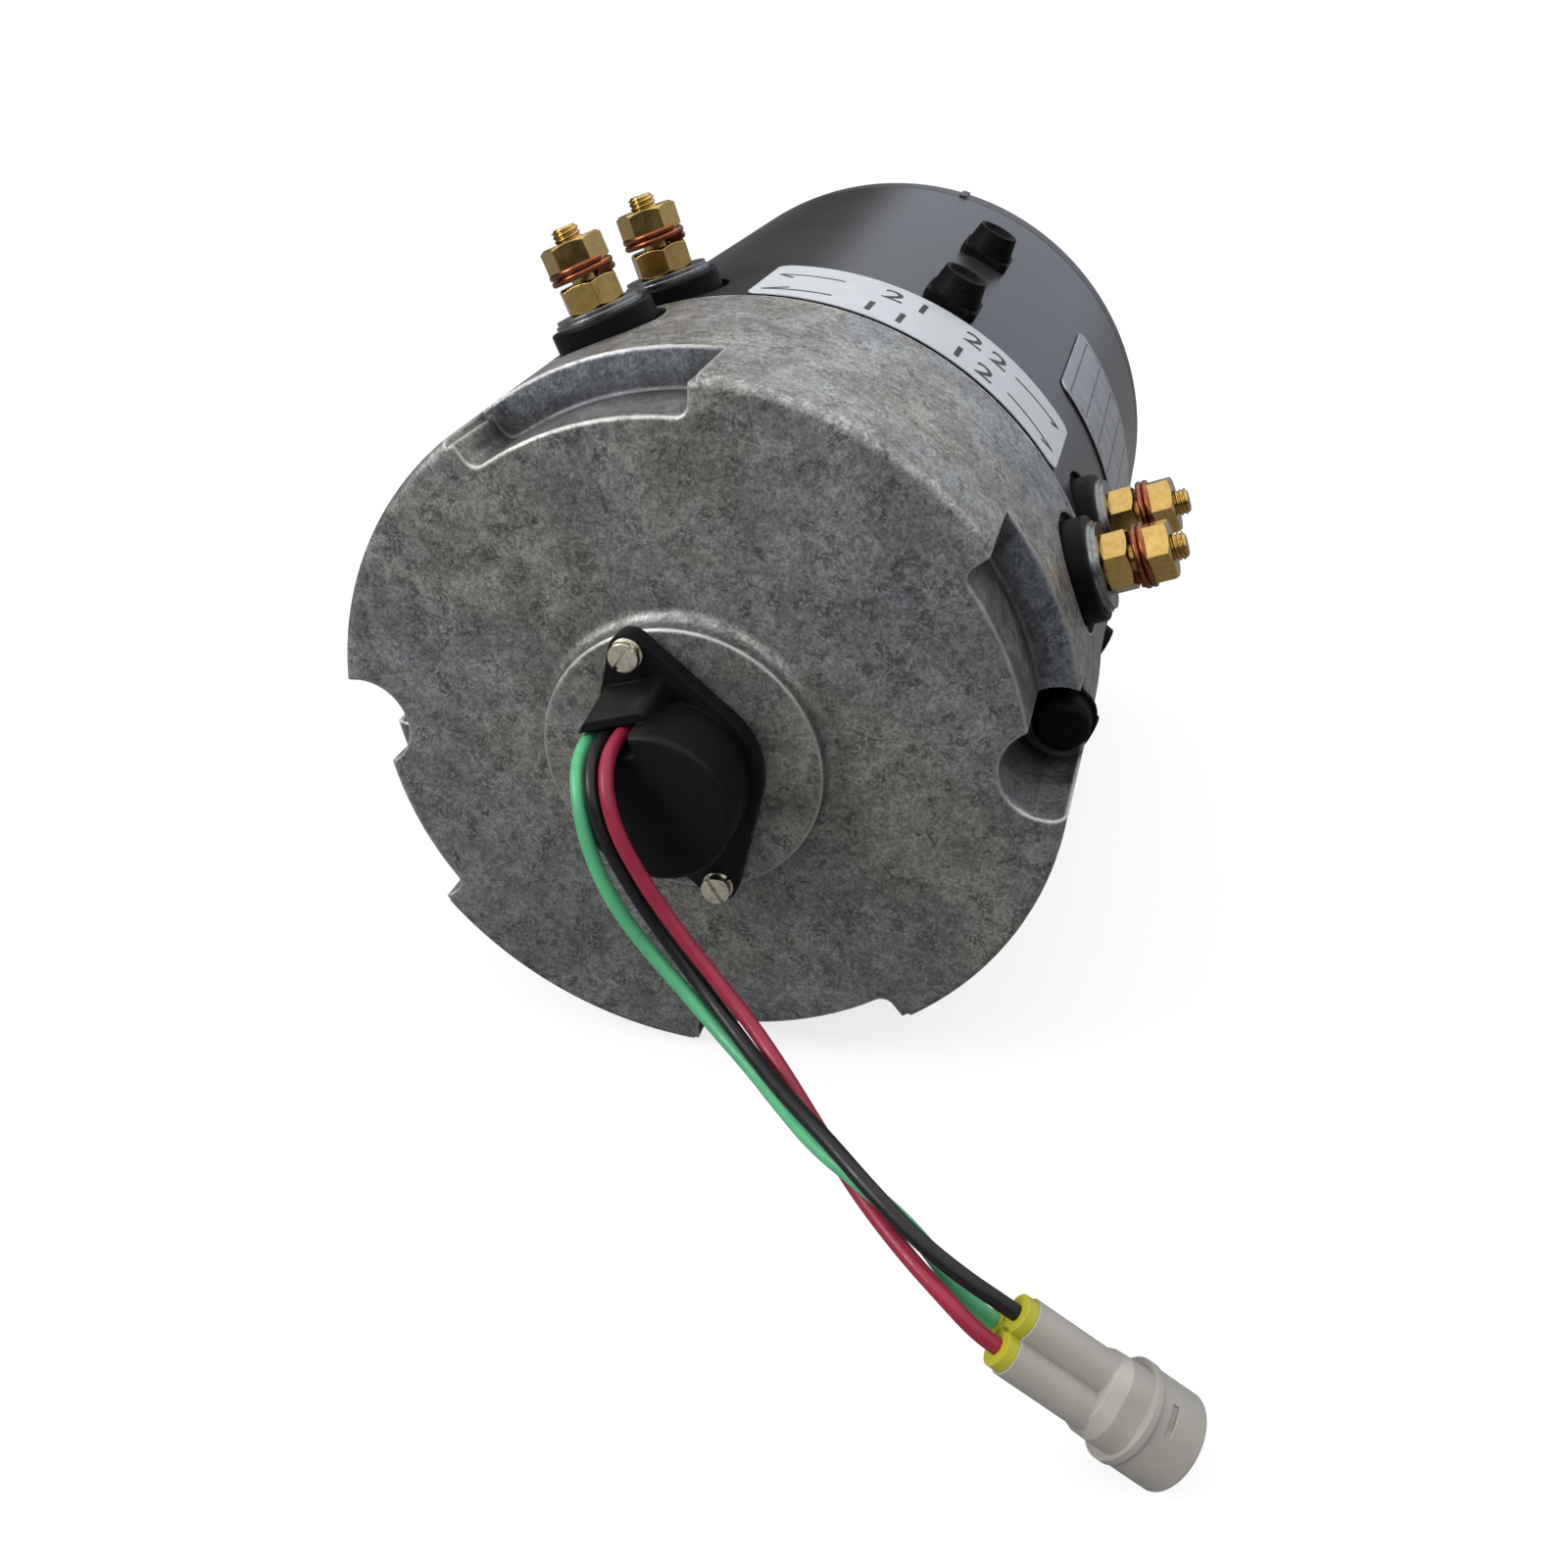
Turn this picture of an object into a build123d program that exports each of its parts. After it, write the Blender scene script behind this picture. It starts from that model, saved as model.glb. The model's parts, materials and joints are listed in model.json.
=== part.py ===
from build123d import *
import os
from math import asin, cos, degrees, pi, radians, sin, sqrt, tan

# Golf cart drive motor, separately excited, four poles, in millimetres.
# The axis lies along Y: the drive-end mounting face is at Y = 0 and the commutator end points to -Y.
# +Z is up and +X is to the right for someone who looks at the commutator end.
# Each piece is first made on the bench: the axis is Z, the drive face is at Z = 0, and an angle is
# counted clockwise from +Y as seen from the commutator end. The label is centred on angle 0.

# Whole motor
BODY_LENGTH = 241.5        # drive face to the face of the commutator-end bell
LABEL_TURN = 25.9          # how far the label side lies clockwise from the top
FIT_GAP = 0.05             # between a spigot or bush and its bore, on the radius
RUN_GAP = 0.3              # between pieces that move against each other
TURN_GAP = 0.12            # between a ball and its raceways

# Yoke tube
YOKE_OD = 170.0
YOKE_WALL = 9.0
YOKE_EDGE_ROUND = 0.8

# Commutator-end bell
BELL_DEPTH = 63.0          # face to the joint with the yoke
BELL_RIM_PROUD = 0.6       # the rim stands out from the yoke by this
BELL_TAPER = 1.6           # the rim is this much larger than the face, on the radius
BELL_EDGE_ROUND = 2.4
BELL_END_WALL = 7.0
BELL_SIDE_WALL = 6.6       # thin side wall between the pockets and the rim
BELL_NECK_WALL = 4.5       # between a pocket and the inside
SPIGOT_LENGTH = 4.0
SPIGOT_WALL = 3.4
BOSS_R = 32.1
BOSS_HEIGHT = 5.2
BOSS_FILLET = 3.0
HUB_WALL = 6.5             # round the bearing
POCKET_DEPTH = 20.0
POCKET_CUT = 8.5           # from the edge of the face to the floor of a pocket
POCKET_CORNER = 3.0
POCKET_RIM_ROUND = 1.6     # where the side of a pocket runs out at the rim
WIDE_POCKET_TURN = 181.8   # to the second pocket and its screw
PLAIN_POCKET_TURN = 178.2  # to the second plain pocket
WIDE_POCKET = (24.5, 56.0)     # first and last angle of the pocket beside a bell screw
PLAIN_POCKET = (-62.5, -24.0)  # first and last angle of the pocket without a screw

# Bell screws, M6 with a high round head
BELL_SCREW_R = 3.0
BELL_SCREW_HEAD_R = 6.5
BELL_SCREW_HEAD = 6.9
BELL_SCREW_DOME = 2.6
BELL_SCREW_FLANGE_R = 7.4
BELL_SCREW_FLANGE = 1.2
BELL_SCREW_ANGLE = 60.0
BELL_SCREW_INSET = 5.2     # its axis inside the surface of the yoke
BELL_SCREW_SEAT = 29.5     # below the bell face
BELL_SCREW_GRIP = 14.0     # length in the yoke
BELL_SEAT_R = 11.0
BELL_COLUMN_WALL = 4.4     # casting left round the seat
BELL_COLUMN_R = 8.0        # round the shank below the seat

# Drive-end head
HEAD_FLANGE = 8.0
HEAD_SPIGOT = 5.0
HEAD_BORE_R = 31.0
HEAD_HUB_R = 40.0
HEAD_HUB_DEPTH = 20.0
REGISTER_R = 50.0
REGISTER_DEPTH = 4.0
HEAD_RIM_WALL = 6.0        # round the cavity, inside the yoke
HEAD_RIB_WIDTH = 7.0
HEAD_RIBS = 4
HEAD_SCREW_COUNT = 4
HEAD_SCREW_ANGLE = 22.0
HEAD_SCREW_R = 3.0
HEAD_SCREW_HEAD_R = 4.2
HEAD_SCREW_LENGTH = 22.0
HEAD_SCREW_HEX = 3.0
MOUNT_HOLES = 4
MOUNT_PCD = 128.0
MOUNT_HOLE_R = 4.0
MOUNT_ANGLE = 45.0
MOUNT_BOSS_R = 9.0
RIM_LUG_ANGLE = -12.0
RIM_LUG_WIDTH = 2.4
RIM_LUG_HEIGHT = 0.7

# Poles and field coils
POLES = 4
POLE_START = 56.5          # from the drive face
POLE_CLEAR = 93.0          # from the bell face to the end of a pole
POLE_BODY_WIDTH = 34.0
POLE_HEIGHT = 22.5         # from the yoke to the air gap
POLE_TIP_THICKNESS = 6.5
POLE_TIP_HALF_ANGLE = 31.0
AIR_GAP = 1.0
COIL_WIDTH = 11.5
COIL_THICKNESS = 7.5
COIL_LIFT = 1.0            # between the pole tip and the coil, for the slot paper
COIL_CORNER = 4.0
POLE_SCREW_INSET = 15.5    # from each end of a pole
POLE_SCREW_R = 5.0
POLE_SCREW_HEAD_R = 6.8
POLE_SCREW_TOP_R = 5.6
POLE_SCREW_HEAD = 6.0
POLE_SCREW_DISH = 1.2
POLE_SCREW_BRIM = 0.8
POLE_SCREW_GRIP = 12.0     # length in the pole
TAB_WASHER_SIDE = 14.4
TAB_WASHER = 2.0
TAB_WASHER_CORNER = 2.0

# Armature
CORE_SLOTS = 25
SLOT_WIDTH = 4.6
SLOT_DEPTH = 15.5
SLOT_LIP = 1.6
SLOT_MOUTH = 2.4
SHAFT_R = 17.0
SHAFT_NECK_R = 15.0
SHAFT_START = 6.0
SPLINE_TEETH = 19
SPLINE_ROOT_R = 12.2       # bottom of the grooves in the bore
SPLINE_TIP_R = 10.6        # bore over the teeth
SPLINE_TOOTH_SHARE = 0.45
SPLINE_DEPTH = 34.0
SPLINE_LEAD_IN = 1.5
BUMPER_THICKNESS = 5.0
WINDING_OVERHANG = 17.0    # end turns beyond the core on the drive end
WINDING_INSET = 2.5        # of the end turns, inside the core
WINDING_INNER_R = 22.0
WINDING_ROUND = 6.0
COMM_R = 32.0
COMM_BARS = 25
COMM_BAR_INNER_R = 24.0
COMM_LENGTH = 34.0
COMM_DEPTH = 62.0          # from the bell face to its far end
COMM_SLOT = 0.9
RISER_R = 36.0
RISER_LENGTH = 4.0
MAGNET_R = 13.5
MAGNET_THICKNESS = 4.5
SHAFT_STUB_R = 7.0

# Ball bearing 25 x 52 x 15
BEARING_BORE_R = 12.5
BEARING_OUTER_R = 26.0
BEARING_WIDTH = 15.0
BEARING_SHOULDER = 4.0     # casting left between the bearing and the bell face
BEARING_INNER_RING_R = 16.8
BEARING_OUTER_RING_R = 21.7
BEARING_BALLS = 9
BALL_R = 3.85
CAGE_THICKNESS = 2.2
CAGE_HALF_WIDTH = 4.9
SEAL_THICKNESS = 1.0
SHOULDER_HOLE_R = 17.0
RETAINER_THICKNESS = 1.5
RETAINER_DEPTH = 1.4       # into the wall of the hub
RETAINER_WIDTH = 3.0
RETAINER_OPENING = 36.0    # degrees

# Brush gear
BRUSHES = 4
BRUSH_THICKNESS = 12.0
BRUSH_WIDTH = 24.0
BRUSH_LENGTH = 24.0
BRUSH_LIFT = 6.0
BRUSH_DEPTH = 42.5         # from the bell face to the middle of a brush
BOX_WALL = 1.6
BOX_CLEARANCE = 0.3
BOX_INNER_R = 36.6
BOX_OUTER_R = 56.5
ROLL_R = 4.2
ROLL_LENGTH = 12.0
RIBBON = 0.5
RIBBON_END_R = 42.0
BRUSH_PLATE = 3.5
BRUSH_PLATE_CLEAR = 7.5    # between the plate and the neck of the bell
BRUSH_PLATE_BORE_R = 37.0
BRUSH_PLATE_DEPTH = 26.5   # from the bell face to its far side
POST_R = 5.0
POST_INSET = 7.0           # from the edge of the plate
POST_ANGLE = 38.0
POST_SCREW_R = 2.0
POST_SCREW_HEAD_R = 3.6
POST_SCREW_HEAD = 2.6
POST_SCREW_GRIP = 9.0

# Terminals, M8 studs in pairs
LEFT_FRONT_ANGLE = -48.5
LEFT_REAR_ANGLE = -44.4
RIGHT_TERMINAL_ANGLE = 42.4
FRONT_TERMINAL = 50.0      # below the bell face
REAR_TERMINAL = 80.0
FRONT_PAD_CUT = 3.0        # depth of the flat in the bell, below the rim
REAR_PAD_CUT = 2.7         # depth of the flat in the yoke
PAD_R = 14.2
STUD_R = 3.2
STUD_END_R = 3.0           # the free end, outside the upper nut
STUD_PROUD = 4.3
STUD_CHAMFER = 0.6
INSULATOR_R = 12.3
INSULATOR_THICKNESS = 6.4
INSULATOR_ROUND = 0.6
BUSH_R = 6.2
WASHER_R = 10.6
THIN_WASHER = 1.0          # two of these lie on each insulator
WASHER_STEP = 0.6          # the outer one is this much smaller
NUT_AF = 12.7
NUT_HEIGHT = 6.1
NUT_EDGE = 0.7             # turned corners
LOWER_NUT_TURN = 0.0
UPPER_NUT_TURN = 17.0
SPRING_WASHER_R = 6.55
SPRING_WASHER = 1.45
SPRING_WASHER_OPENING = 12.0   # degrees
INNER_WASHER_R = 8.5
INNER_WASHER = 3.0
STUD_HEAD_AF = 12.0
STUD_HEAD = 5.0

# Label and rating plate
LABEL_HALF_ANGLE = 29.0
LABEL_START = 65.6         # below the bell face
LABEL_WIDTH = 32.4
LABEL_THICKNESS = 0.3
PLATE_ANGLES = (24.0, 78.0)
PLATE_START = 121.0
PLATE_WIDTH = 58.0
PLATE_THICKNESS = 0.4
SHEET_CORNER = 3.0
GLUE_GAP = 0.3             # under the label and the plate

# Speed sensor on the boss
SENSOR_ANGLE = -44.5
SENSOR_SCREW_PCR = 29.2
SENSOR_TIP_R = 5.6
SENSOR_R = 21.5
SENSOR_CAP_R = 21.0
SENSOR_FLANGE = 3.8
SENSOR_HEIGHT = 14.8
SENSOR_EDGE = 1.2
SENSOR_SCREW_R = 2.0
SENSOR_SCREW_HEAD_R = 3.9
SENSOR_SCREW_HEAD = 2.6
SENSOR_SCREW_SLOT = 1.0
SENSOR_SCREW_GRIP = 7.0
SENSOR_WASHER = 0.8
SENSOR_WASHER_R = 4.4
EXIT_ALONG = 15.8          # wire exit, from the axis towards the upper screw
EXIT_HEIGHT = 8.4
EXIT_FIRST = -14.0         # left end of the exit slot
EXIT_LAST = 2.2
EXIT_DEPTH = 6.0
SENSOR_CAVITY_R = 17.0
SENSOR_CAVITY = 6.0

# Lead and connector
WIRE_R = 1.6
PLUG_REAR = (85.8, -331.2, -55.85)    # centre of the wire end
PLUG_ALONG = (0.8207, 0.0300, -0.5705)
PLUG_ACROSS = (0.3777, 0.7207, 0.5813)
PLUG_LENGTH = 39.3
SEAL_R = 3.2
SEAL_PROUD = 2.2
SEAL_LENGTH = 8.0
SEAL_FLANGE_R = 3.7
LOBE_R = 4.1
LOBE_END = 20.6
NECK_SIDE = 16.3
NECK_CORNER = 6.0
NECK_END = 27.5
BARREL_R = 9.5
BARREL_LIP = 1.6
BARREL_WALL = 1.5
BARREL_DEPTH = 10.5
CORE_SIDE = 10.0
PIN_R = 0.75
PIN_LENGTH = 7.0
LATCH_WIDTH = 5.6
LATCH_HEIGHT = 1.3
LATCH_RISE = 3.0           # above the collar of the barrel
LATCH_TURN = -19.0
WIRE_SEATS = {"red": (-3.3, 2.2), "black": (3.3, 2.2), "green": (0.0, -3.5)}

# Worked out from the sizes above
YOKE_R = YOKE_OD / 2
YOKE_INNER_R = YOKE_R - YOKE_WALL
BELL_RIM_R = YOKE_R + BELL_RIM_PROUD
BELL_FACE_R = BELL_RIM_R - BELL_TAPER
POCKET_FLOOR_R = BELL_FACE_R - POCKET_CUT
BELL_SCREW_PCR = YOKE_R - BELL_SCREW_INSET
JOINT_Z = BODY_LENGTH - BELL_DEPTH
BOSS_Z = BODY_LENGTH + BOSS_HEIGHT
NECK_R = POCKET_FLOOR_R - BELL_NECK_WALL
BRUSH_PLATE_R = NECK_R - BRUSH_PLATE_CLEAR
POST_PCR = BRUSH_PLATE_R - POST_INSET
HEAD_CAVITY_R = YOKE_INNER_R - HEAD_RIM_WALL
BEARING_TOP = BODY_LENGTH - BEARING_SHOULDER
BEARING_LOW = BEARING_TOP - BEARING_WIDTH
HUB_LOW = BEARING_LOW - RETAINER_THICKNESS - 2.0
HUB_R = BEARING_OUTER_R + HUB_WALL
CORE_START = POLE_START
CORE_END = BODY_LENGTH - POLE_CLEAR
POLE_LENGTH = CORE_END - CORE_START
POLE_CENTRE = (CORE_START + CORE_END) / 2
COMM_START = BODY_LENGTH - COMM_DEPTH
BRUSH_CENTRE = BODY_LENGTH - BRUSH_DEPTH
BRUSH_PLATE_Z = BODY_LENGTH - BRUSH_PLATE_DEPTH
POLE_TIP_R = YOKE_INNER_R - POLE_HEIGHT
CORE_R = POLE_TIP_R - AIR_GAP
SLOT_FLOOR_R = CORE_R - SLOT_DEPTH
WINDING_R = CORE_R - WINDING_INSET
POLE_BACK_R = POLE_TIP_R + POLE_TIP_THICKNESS
FRONT_PAD = BELL_RIM_R - FRONT_PAD_CUT
REAR_PAD = YOKE_R - REAR_PAD_CUT
WASHER_LOW = INSULATOR_THICKNESS                 # heights in a stack are above its flat
NUT_LOW = WASHER_LOW + 2 * THIN_WASHER
SPRING_LOW = NUT_LOW + NUT_HEIGHT
UPPER_NUT_LOW = SPRING_LOW + 2 * SPRING_WASHER
STUD_END = UPPER_NUT_LOW + NUT_HEIGHT
RACE_R = (BEARING_INNER_RING_R + BEARING_OUTER_RING_R) / 2
PLATE_TOP = BRUSH_PLATE_Z + BRUSH_PLATE


def at_angle(angle, shape):
    """Turn a shape made at angle 0 clockwise about the axis."""
    return Rot(0, 0, -angle) * shape


def around(count, shape, first=0.0):
    """Copies of a shape, evenly spaced about the axis."""
    return [at_angle(first + 360.0 * i / count, shape) for i in range(count)]


def spot(radius, angle, z=0.0):
    """A place on the bench by its distance from the axis, angle and height."""
    return Pos(radius * sin(radians(angle)), radius * cos(radians(angle)), z)


def rod(radius, low, high):
    """A cylinder on the axis between two heights."""
    return Pos(0, 0, low) * Cylinder(radius, high - low, align=(Align.CENTER, Align.CENTER, Align.MIN))


def ring(outer, inner, low, high):
    """A plain ring on the axis between two heights."""
    return rod(outer, low, high) - rod(inner, low - 1, high + 1)


def radial(z, angle):
    """Bench place whose own Z points outwards from the axis at a height and angle."""
    return Rot(0, 0, -angle) * Pos(0, 0, z) * Rot(-90, 0, 0)


def sector(outer, inner, first, last):
    """Face between two radii and two angles."""
    a0, a1 = 90 - last, 90 - first
    middle = (a0 + a1) / 2

    def on(radius, angle):
        return (radius * cos(radians(angle)), radius * sin(radians(angle)))

    edge = [
        ThreePointArc(on(outer, a0), on(outer, middle), on(outer, a1)),
        Line(on(outer, a1), on(inner, a1)),
        ThreePointArc(on(inner, a1), on(inner, middle), on(inner, a0)),
        Line(on(inner, a0), on(outer, a0)),
    ]
    return make_face(edge)


def raised(face, low, high):
    """Extrude a bench face from one height to another."""
    return extrude(Pos(0, 0, low) * face, high - low)


def revolved(points):
    """Turn a closed outline of (radius, height) points about the axis."""
    outline = Plane.XZ * make_face(Polyline(*points, close=True))
    return revolve(outline, Axis.Z, 360)


def hexagon_bar(across_flats, low, high):
    """Hexagonal bar on the bench axis, flats facing +Y and -Y."""
    return raised(RegularPolygon(across_flats / 2, 6, major_radius=False), low, high)


def rounded_top(solid, size):
    """Round the outer edges of the highest flat face."""
    top = solid.faces().sort_by(Axis.Z)[-1]
    return fillet(top.outer_wire().edges(), size)


def terminals():
    """Frame, distance to the flat and inside radius of the wall for the four studs, front pair first."""
    front = BODY_LENGTH - FRONT_TERMINAL
    rear = BODY_LENGTH - REAR_TERMINAL
    bell_wall = BELL_RIM_R - BELL_SIDE_WALL
    return [
        (radial(front, LEFT_FRONT_ANGLE), FRONT_PAD, bell_wall),
        (radial(front, RIGHT_TERMINAL_ANGLE), FRONT_PAD, bell_wall),
        (radial(rear, LEFT_REAR_ANGLE), REAR_PAD, YOKE_INNER_R),
        (radial(rear, RIGHT_TERMINAL_ANGLE), REAR_PAD, YOKE_INNER_R),
    ]


def pole_screw_heights():
    return (CORE_START + POLE_SCREW_INSET, CORE_END - POLE_SCREW_INSET)


def terminal_cutters():
    """Flats under the insulators and holes for their bushes."""
    spot_face = Cylinder(PAD_R, 2 * INSULATOR_THICKNESS, align=(Align.CENTER, Align.CENTER, Align.MIN))
    hole = Cylinder(BUSH_R + FIT_GAP, 3 * YOKE_WALL)
    return [place * Pos(0, 0, flat) * (spot_face + hole) for place, flat, wall in terminals()]


def make_yoke_tube():
    tube = ring(YOKE_R, YOKE_INNER_R, HEAD_FLANGE, JOINT_Z)
    tube = chamfer(tube.edges().filter_by(GeomType.CIRCLE).group_by(SortBy.RADIUS)[-1], YOKE_EDGE_ROUND)
    for z in pole_screw_heights():
        hole = radial(z, 0) * Pos(0, 0, YOKE_R) * Cylinder(POLE_SCREW_R + FIT_GAP, 3 * YOKE_WALL)
        for cutter in around(POLES, hole):
            tube -= cutter
    for cutter in terminal_cutters():
        tube -= cutter
    bell_hole = rod(BELL_SCREW_R, JOINT_Z - BELL_SCREW_GRIP - 2, JOINT_Z + 1)
    for cutter in at_bell_screws(bell_hole):
        tube -= cutter
    head_hole = spot(BELL_SCREW_PCR, HEAD_SCREW_ANGLE) * rod(HEAD_SCREW_R, HEAD_FLANGE - 1, HEAD_SCREW_LENGTH + 2)
    for cutter in around(HEAD_SCREW_COUNT, head_hole):
        tube -= cutter
    return tube


def at_bell_screws(shape):
    """Copies of a shape on the two bell screws."""
    first = spot(BELL_SCREW_PCR, BELL_SCREW_ANGLE) * shape
    return [first, at_angle(WIDE_POCKET_TURN, first)]


def pocket(first, last):
    """Cutter for one open pocket in the corner between the face and the side of the bell."""
    face = sector(BELL_RIM_R + 4, POCKET_FLOOR_R, first, last)
    inner = face.vertices().sort_by_distance((0, 0, 0))[:2]
    face = fillet(inner, POCKET_CORNER)
    cutter = raised(face, BODY_LENGTH - POCKET_DEPTH, BODY_LENGTH + 1)
    flare = 2 * POCKET_RIM_ROUND / BELL_FACE_R
    wide = raised(sector(BELL_RIM_R + 4, BELL_FACE_R - POCKET_RIM_ROUND, first - degrees(flare) / 2,
                         last + degrees(flare) / 2), BODY_LENGTH - POCKET_DEPTH, BODY_LENGTH + 1)
    return cutter + wide


def make_commutator_end_bell():
    face_z = BODY_LENGTH
    side_inner_r = BELL_RIM_R - BELL_SIDE_WALL
    pocket_low = face_z - POCKET_DEPTH - BELL_NECK_WALL - POCKET_CORNER
    spigot_inner_r = YOKE_INNER_R - FIT_GAP - SPIGOT_WALL
    body = revolved([
        (SHOULDER_HOLE_R, face_z),
        (BELL_FACE_R, face_z),
        (BELL_RIM_R, JOINT_Z),
        (YOKE_INNER_R - FIT_GAP, JOINT_Z),
        (YOKE_INNER_R - FIT_GAP, JOINT_Z - SPIGOT_LENGTH),
        (spigot_inner_r, JOINT_Z - SPIGOT_LENGTH),
        (spigot_inner_r, JOINT_Z + SPIGOT_WALL),
        (side_inner_r, JOINT_Z + SPIGOT_WALL),
        (side_inner_r, pocket_low - (side_inner_r - NECK_R) / 2),
        (NECK_R, pocket_low),
        (NECK_R, face_z - BELL_END_WALL),
        (HUB_R, face_z - BELL_END_WALL),
        (HUB_R, HUB_LOW),
        (BEARING_OUTER_R + FIT_GAP, HUB_LOW),
        (BEARING_OUTER_R + FIT_GAP, BEARING_TOP),
        (SHOULDER_HOLE_R, BEARING_TOP),
    ])
    corner = body.edges().filter_by(GeomType.CIRCLE).group_by(Axis.Z)[-1].sort_by(SortBy.RADIUS)[-1]
    body = fillet(corner, BELL_EDGE_ROUND)
    body += ring(BOSS_R, SHOULDER_HOLE_R, face_z - BOSS_HEIGHT / 2, BOSS_Z)
    foot = body.edges().filter_by(GeomType.CIRCLE).filter_by(
        lambda e: abs(e.radius - BOSS_R) < 0.01 and abs(e.center().Z - face_z) < 0.01)
    body = fillet(foot, BOSS_FILLET)

    shell = revolved([
        (0, face_z),
        (BELL_FACE_R - BELL_EDGE_ROUND, face_z),
        (BELL_RIM_R - BELL_EDGE_ROUND, JOINT_Z),
        (0, JOINT_Z),
    ])
    seat_column = rod(BELL_SEAT_R + BELL_COLUMN_WALL, face_z - BELL_SCREW_SEAT - BELL_COLUMN_WALL, face_z)
    shank_column = rod(BELL_COLUMN_R, JOINT_Z, face_z)
    body += [column & shell for column in at_bell_screws(seat_column + shank_column)]
    post = spot(POST_PCR, POST_ANGLE) * rod(POST_R, PLATE_TOP, face_z - BELL_END_WALL + 1)
    body += around(BRUSHES, post)

    for sides, turn in ((WIDE_POCKET, WIDE_POCKET_TURN), (PLAIN_POCKET, PLAIN_POCKET_TURN)):
        cutter = pocket(sides[0], sides[1])
        body -= [cutter, at_angle(turn, cutter)]
    seat = rod(BELL_SEAT_R, face_z - BELL_SCREW_SEAT, face_z + 1)
    shank = rod(BELL_SCREW_R + RUN_GAP, JOINT_Z - 1, face_z)
    body -= at_bell_screws(seat + shank)
    body -= terminal_cutters()
    groove_top = BEARING_LOW
    body -= ring(BEARING_OUTER_R + RETAINER_DEPTH + FIT_GAP, BEARING_OUTER_R - 1,
                 groove_top - RETAINER_THICKNESS - FIT_GAP, groove_top)
    tapped = spot(POST_PCR, POST_ANGLE) * rod(POST_SCREW_R, PLATE_TOP - 1, PLATE_TOP + POST_SCREW_GRIP + 1)
    body -= around(BRUSHES, tapped)
    for side in (0, 180):
        body -= spot(SENSOR_SCREW_PCR, SENSOR_ANGLE + side) * rod(SENSOR_SCREW_R, BOSS_Z - SENSOR_SCREW_GRIP - 1, BOSS_Z + 1)
    return body


def make_bell_screws():
    seat_z = BODY_LENGTH - BELL_SCREW_SEAT
    head_z = seat_z + BELL_SCREW_FLANGE + BELL_SCREW_HEAD
    head = rounded_top(rod(BELL_SCREW_HEAD_R, seat_z, head_z), BELL_SCREW_DOME)
    head += rod(BELL_SCREW_FLANGE_R, seat_z, seat_z + BELL_SCREW_FLANGE)
    screw = head + rod(BELL_SCREW_R, JOINT_Z - BELL_SCREW_GRIP, seat_z)
    return at_bell_screws(screw)


def make_drive_end_head():
    """Cast plate with a register for the axle, a hub round the armature sleeve and ribs between them."""
    spigot_r = YOKE_INNER_R - FIT_GAP
    depth = HEAD_FLANGE + HEAD_SPIGOT
    head = rod(YOKE_R, 0, HEAD_FLANGE) + rod(spigot_r, HEAD_FLANGE, depth)
    head += rod(HEAD_HUB_R, 0, HEAD_HUB_DEPTH)
    head -= ring(HEAD_CAVITY_R, HEAD_HUB_R, HEAD_FLANGE, depth + 1)
    rib_length = HEAD_CAVITY_R - HEAD_HUB_R + 4
    rib = Pos(0, (HEAD_CAVITY_R + HEAD_HUB_R) / 2, 0) * Box(
        HEAD_RIB_WIDTH, rib_length, depth, align=(Align.CENTER, Align.CENTER, Align.MIN))
    head += around(HEAD_RIBS, rib)
    boss = spot(MOUNT_PCD / 2, MOUNT_ANGLE) * rod(MOUNT_BOSS_R, 0, depth)
    head += around(MOUNT_HOLES, boss)
    lug = spot(YOKE_R - 1, RIM_LUG_ANGLE) * Rot(0, 0, -RIM_LUG_ANGLE) * Box(
        RIM_LUG_WIDTH, 2 + 2 * RIM_LUG_HEIGHT, HEAD_FLANGE, align=(Align.CENTER, Align.CENTER, Align.MIN))
    head += lug
    head -= rod(HEAD_BORE_R, -1, HEAD_HUB_DEPTH + 1)
    head -= rod(REGISTER_R, -1, REGISTER_DEPTH)
    hole = spot(MOUNT_PCD / 2, MOUNT_ANGLE) * rod(MOUNT_HOLE_R, -1, depth + 1)
    head -= around(MOUNT_HOLES, hole)
    sink = Cone(HEAD_SCREW_HEAD_R + 2 * FIT_GAP, HEAD_SCREW_R + FIT_GAP, HEAD_SCREW_HEAD_R - HEAD_SCREW_R + FIT_GAP,
                align=(Align.CENTER, Align.CENTER, Align.MIN))
    screw_hole = spot(BELL_SCREW_PCR, HEAD_SCREW_ANGLE) * (rod(HEAD_SCREW_R + FIT_GAP, -1, HEAD_FLANGE + 1) + sink)
    head -= around(HEAD_SCREW_COUNT, screw_hole)
    return head


def make_head_screws():
    taper = HEAD_SCREW_HEAD_R - HEAD_SCREW_R
    head = Cone(HEAD_SCREW_HEAD_R, HEAD_SCREW_R, taper, align=(Align.CENTER, Align.CENTER, Align.MIN))
    screw = head + rod(HEAD_SCREW_R, taper / 2, HEAD_SCREW_LENGTH)
    screw -= hexagon_bar(HEAD_SCREW_HEX, -1, HEAD_SCREW_HEX)
    return around(HEAD_SCREW_COUNT, spot(BELL_SCREW_PCR, HEAD_SCREW_ANGLE) * screw)


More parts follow.
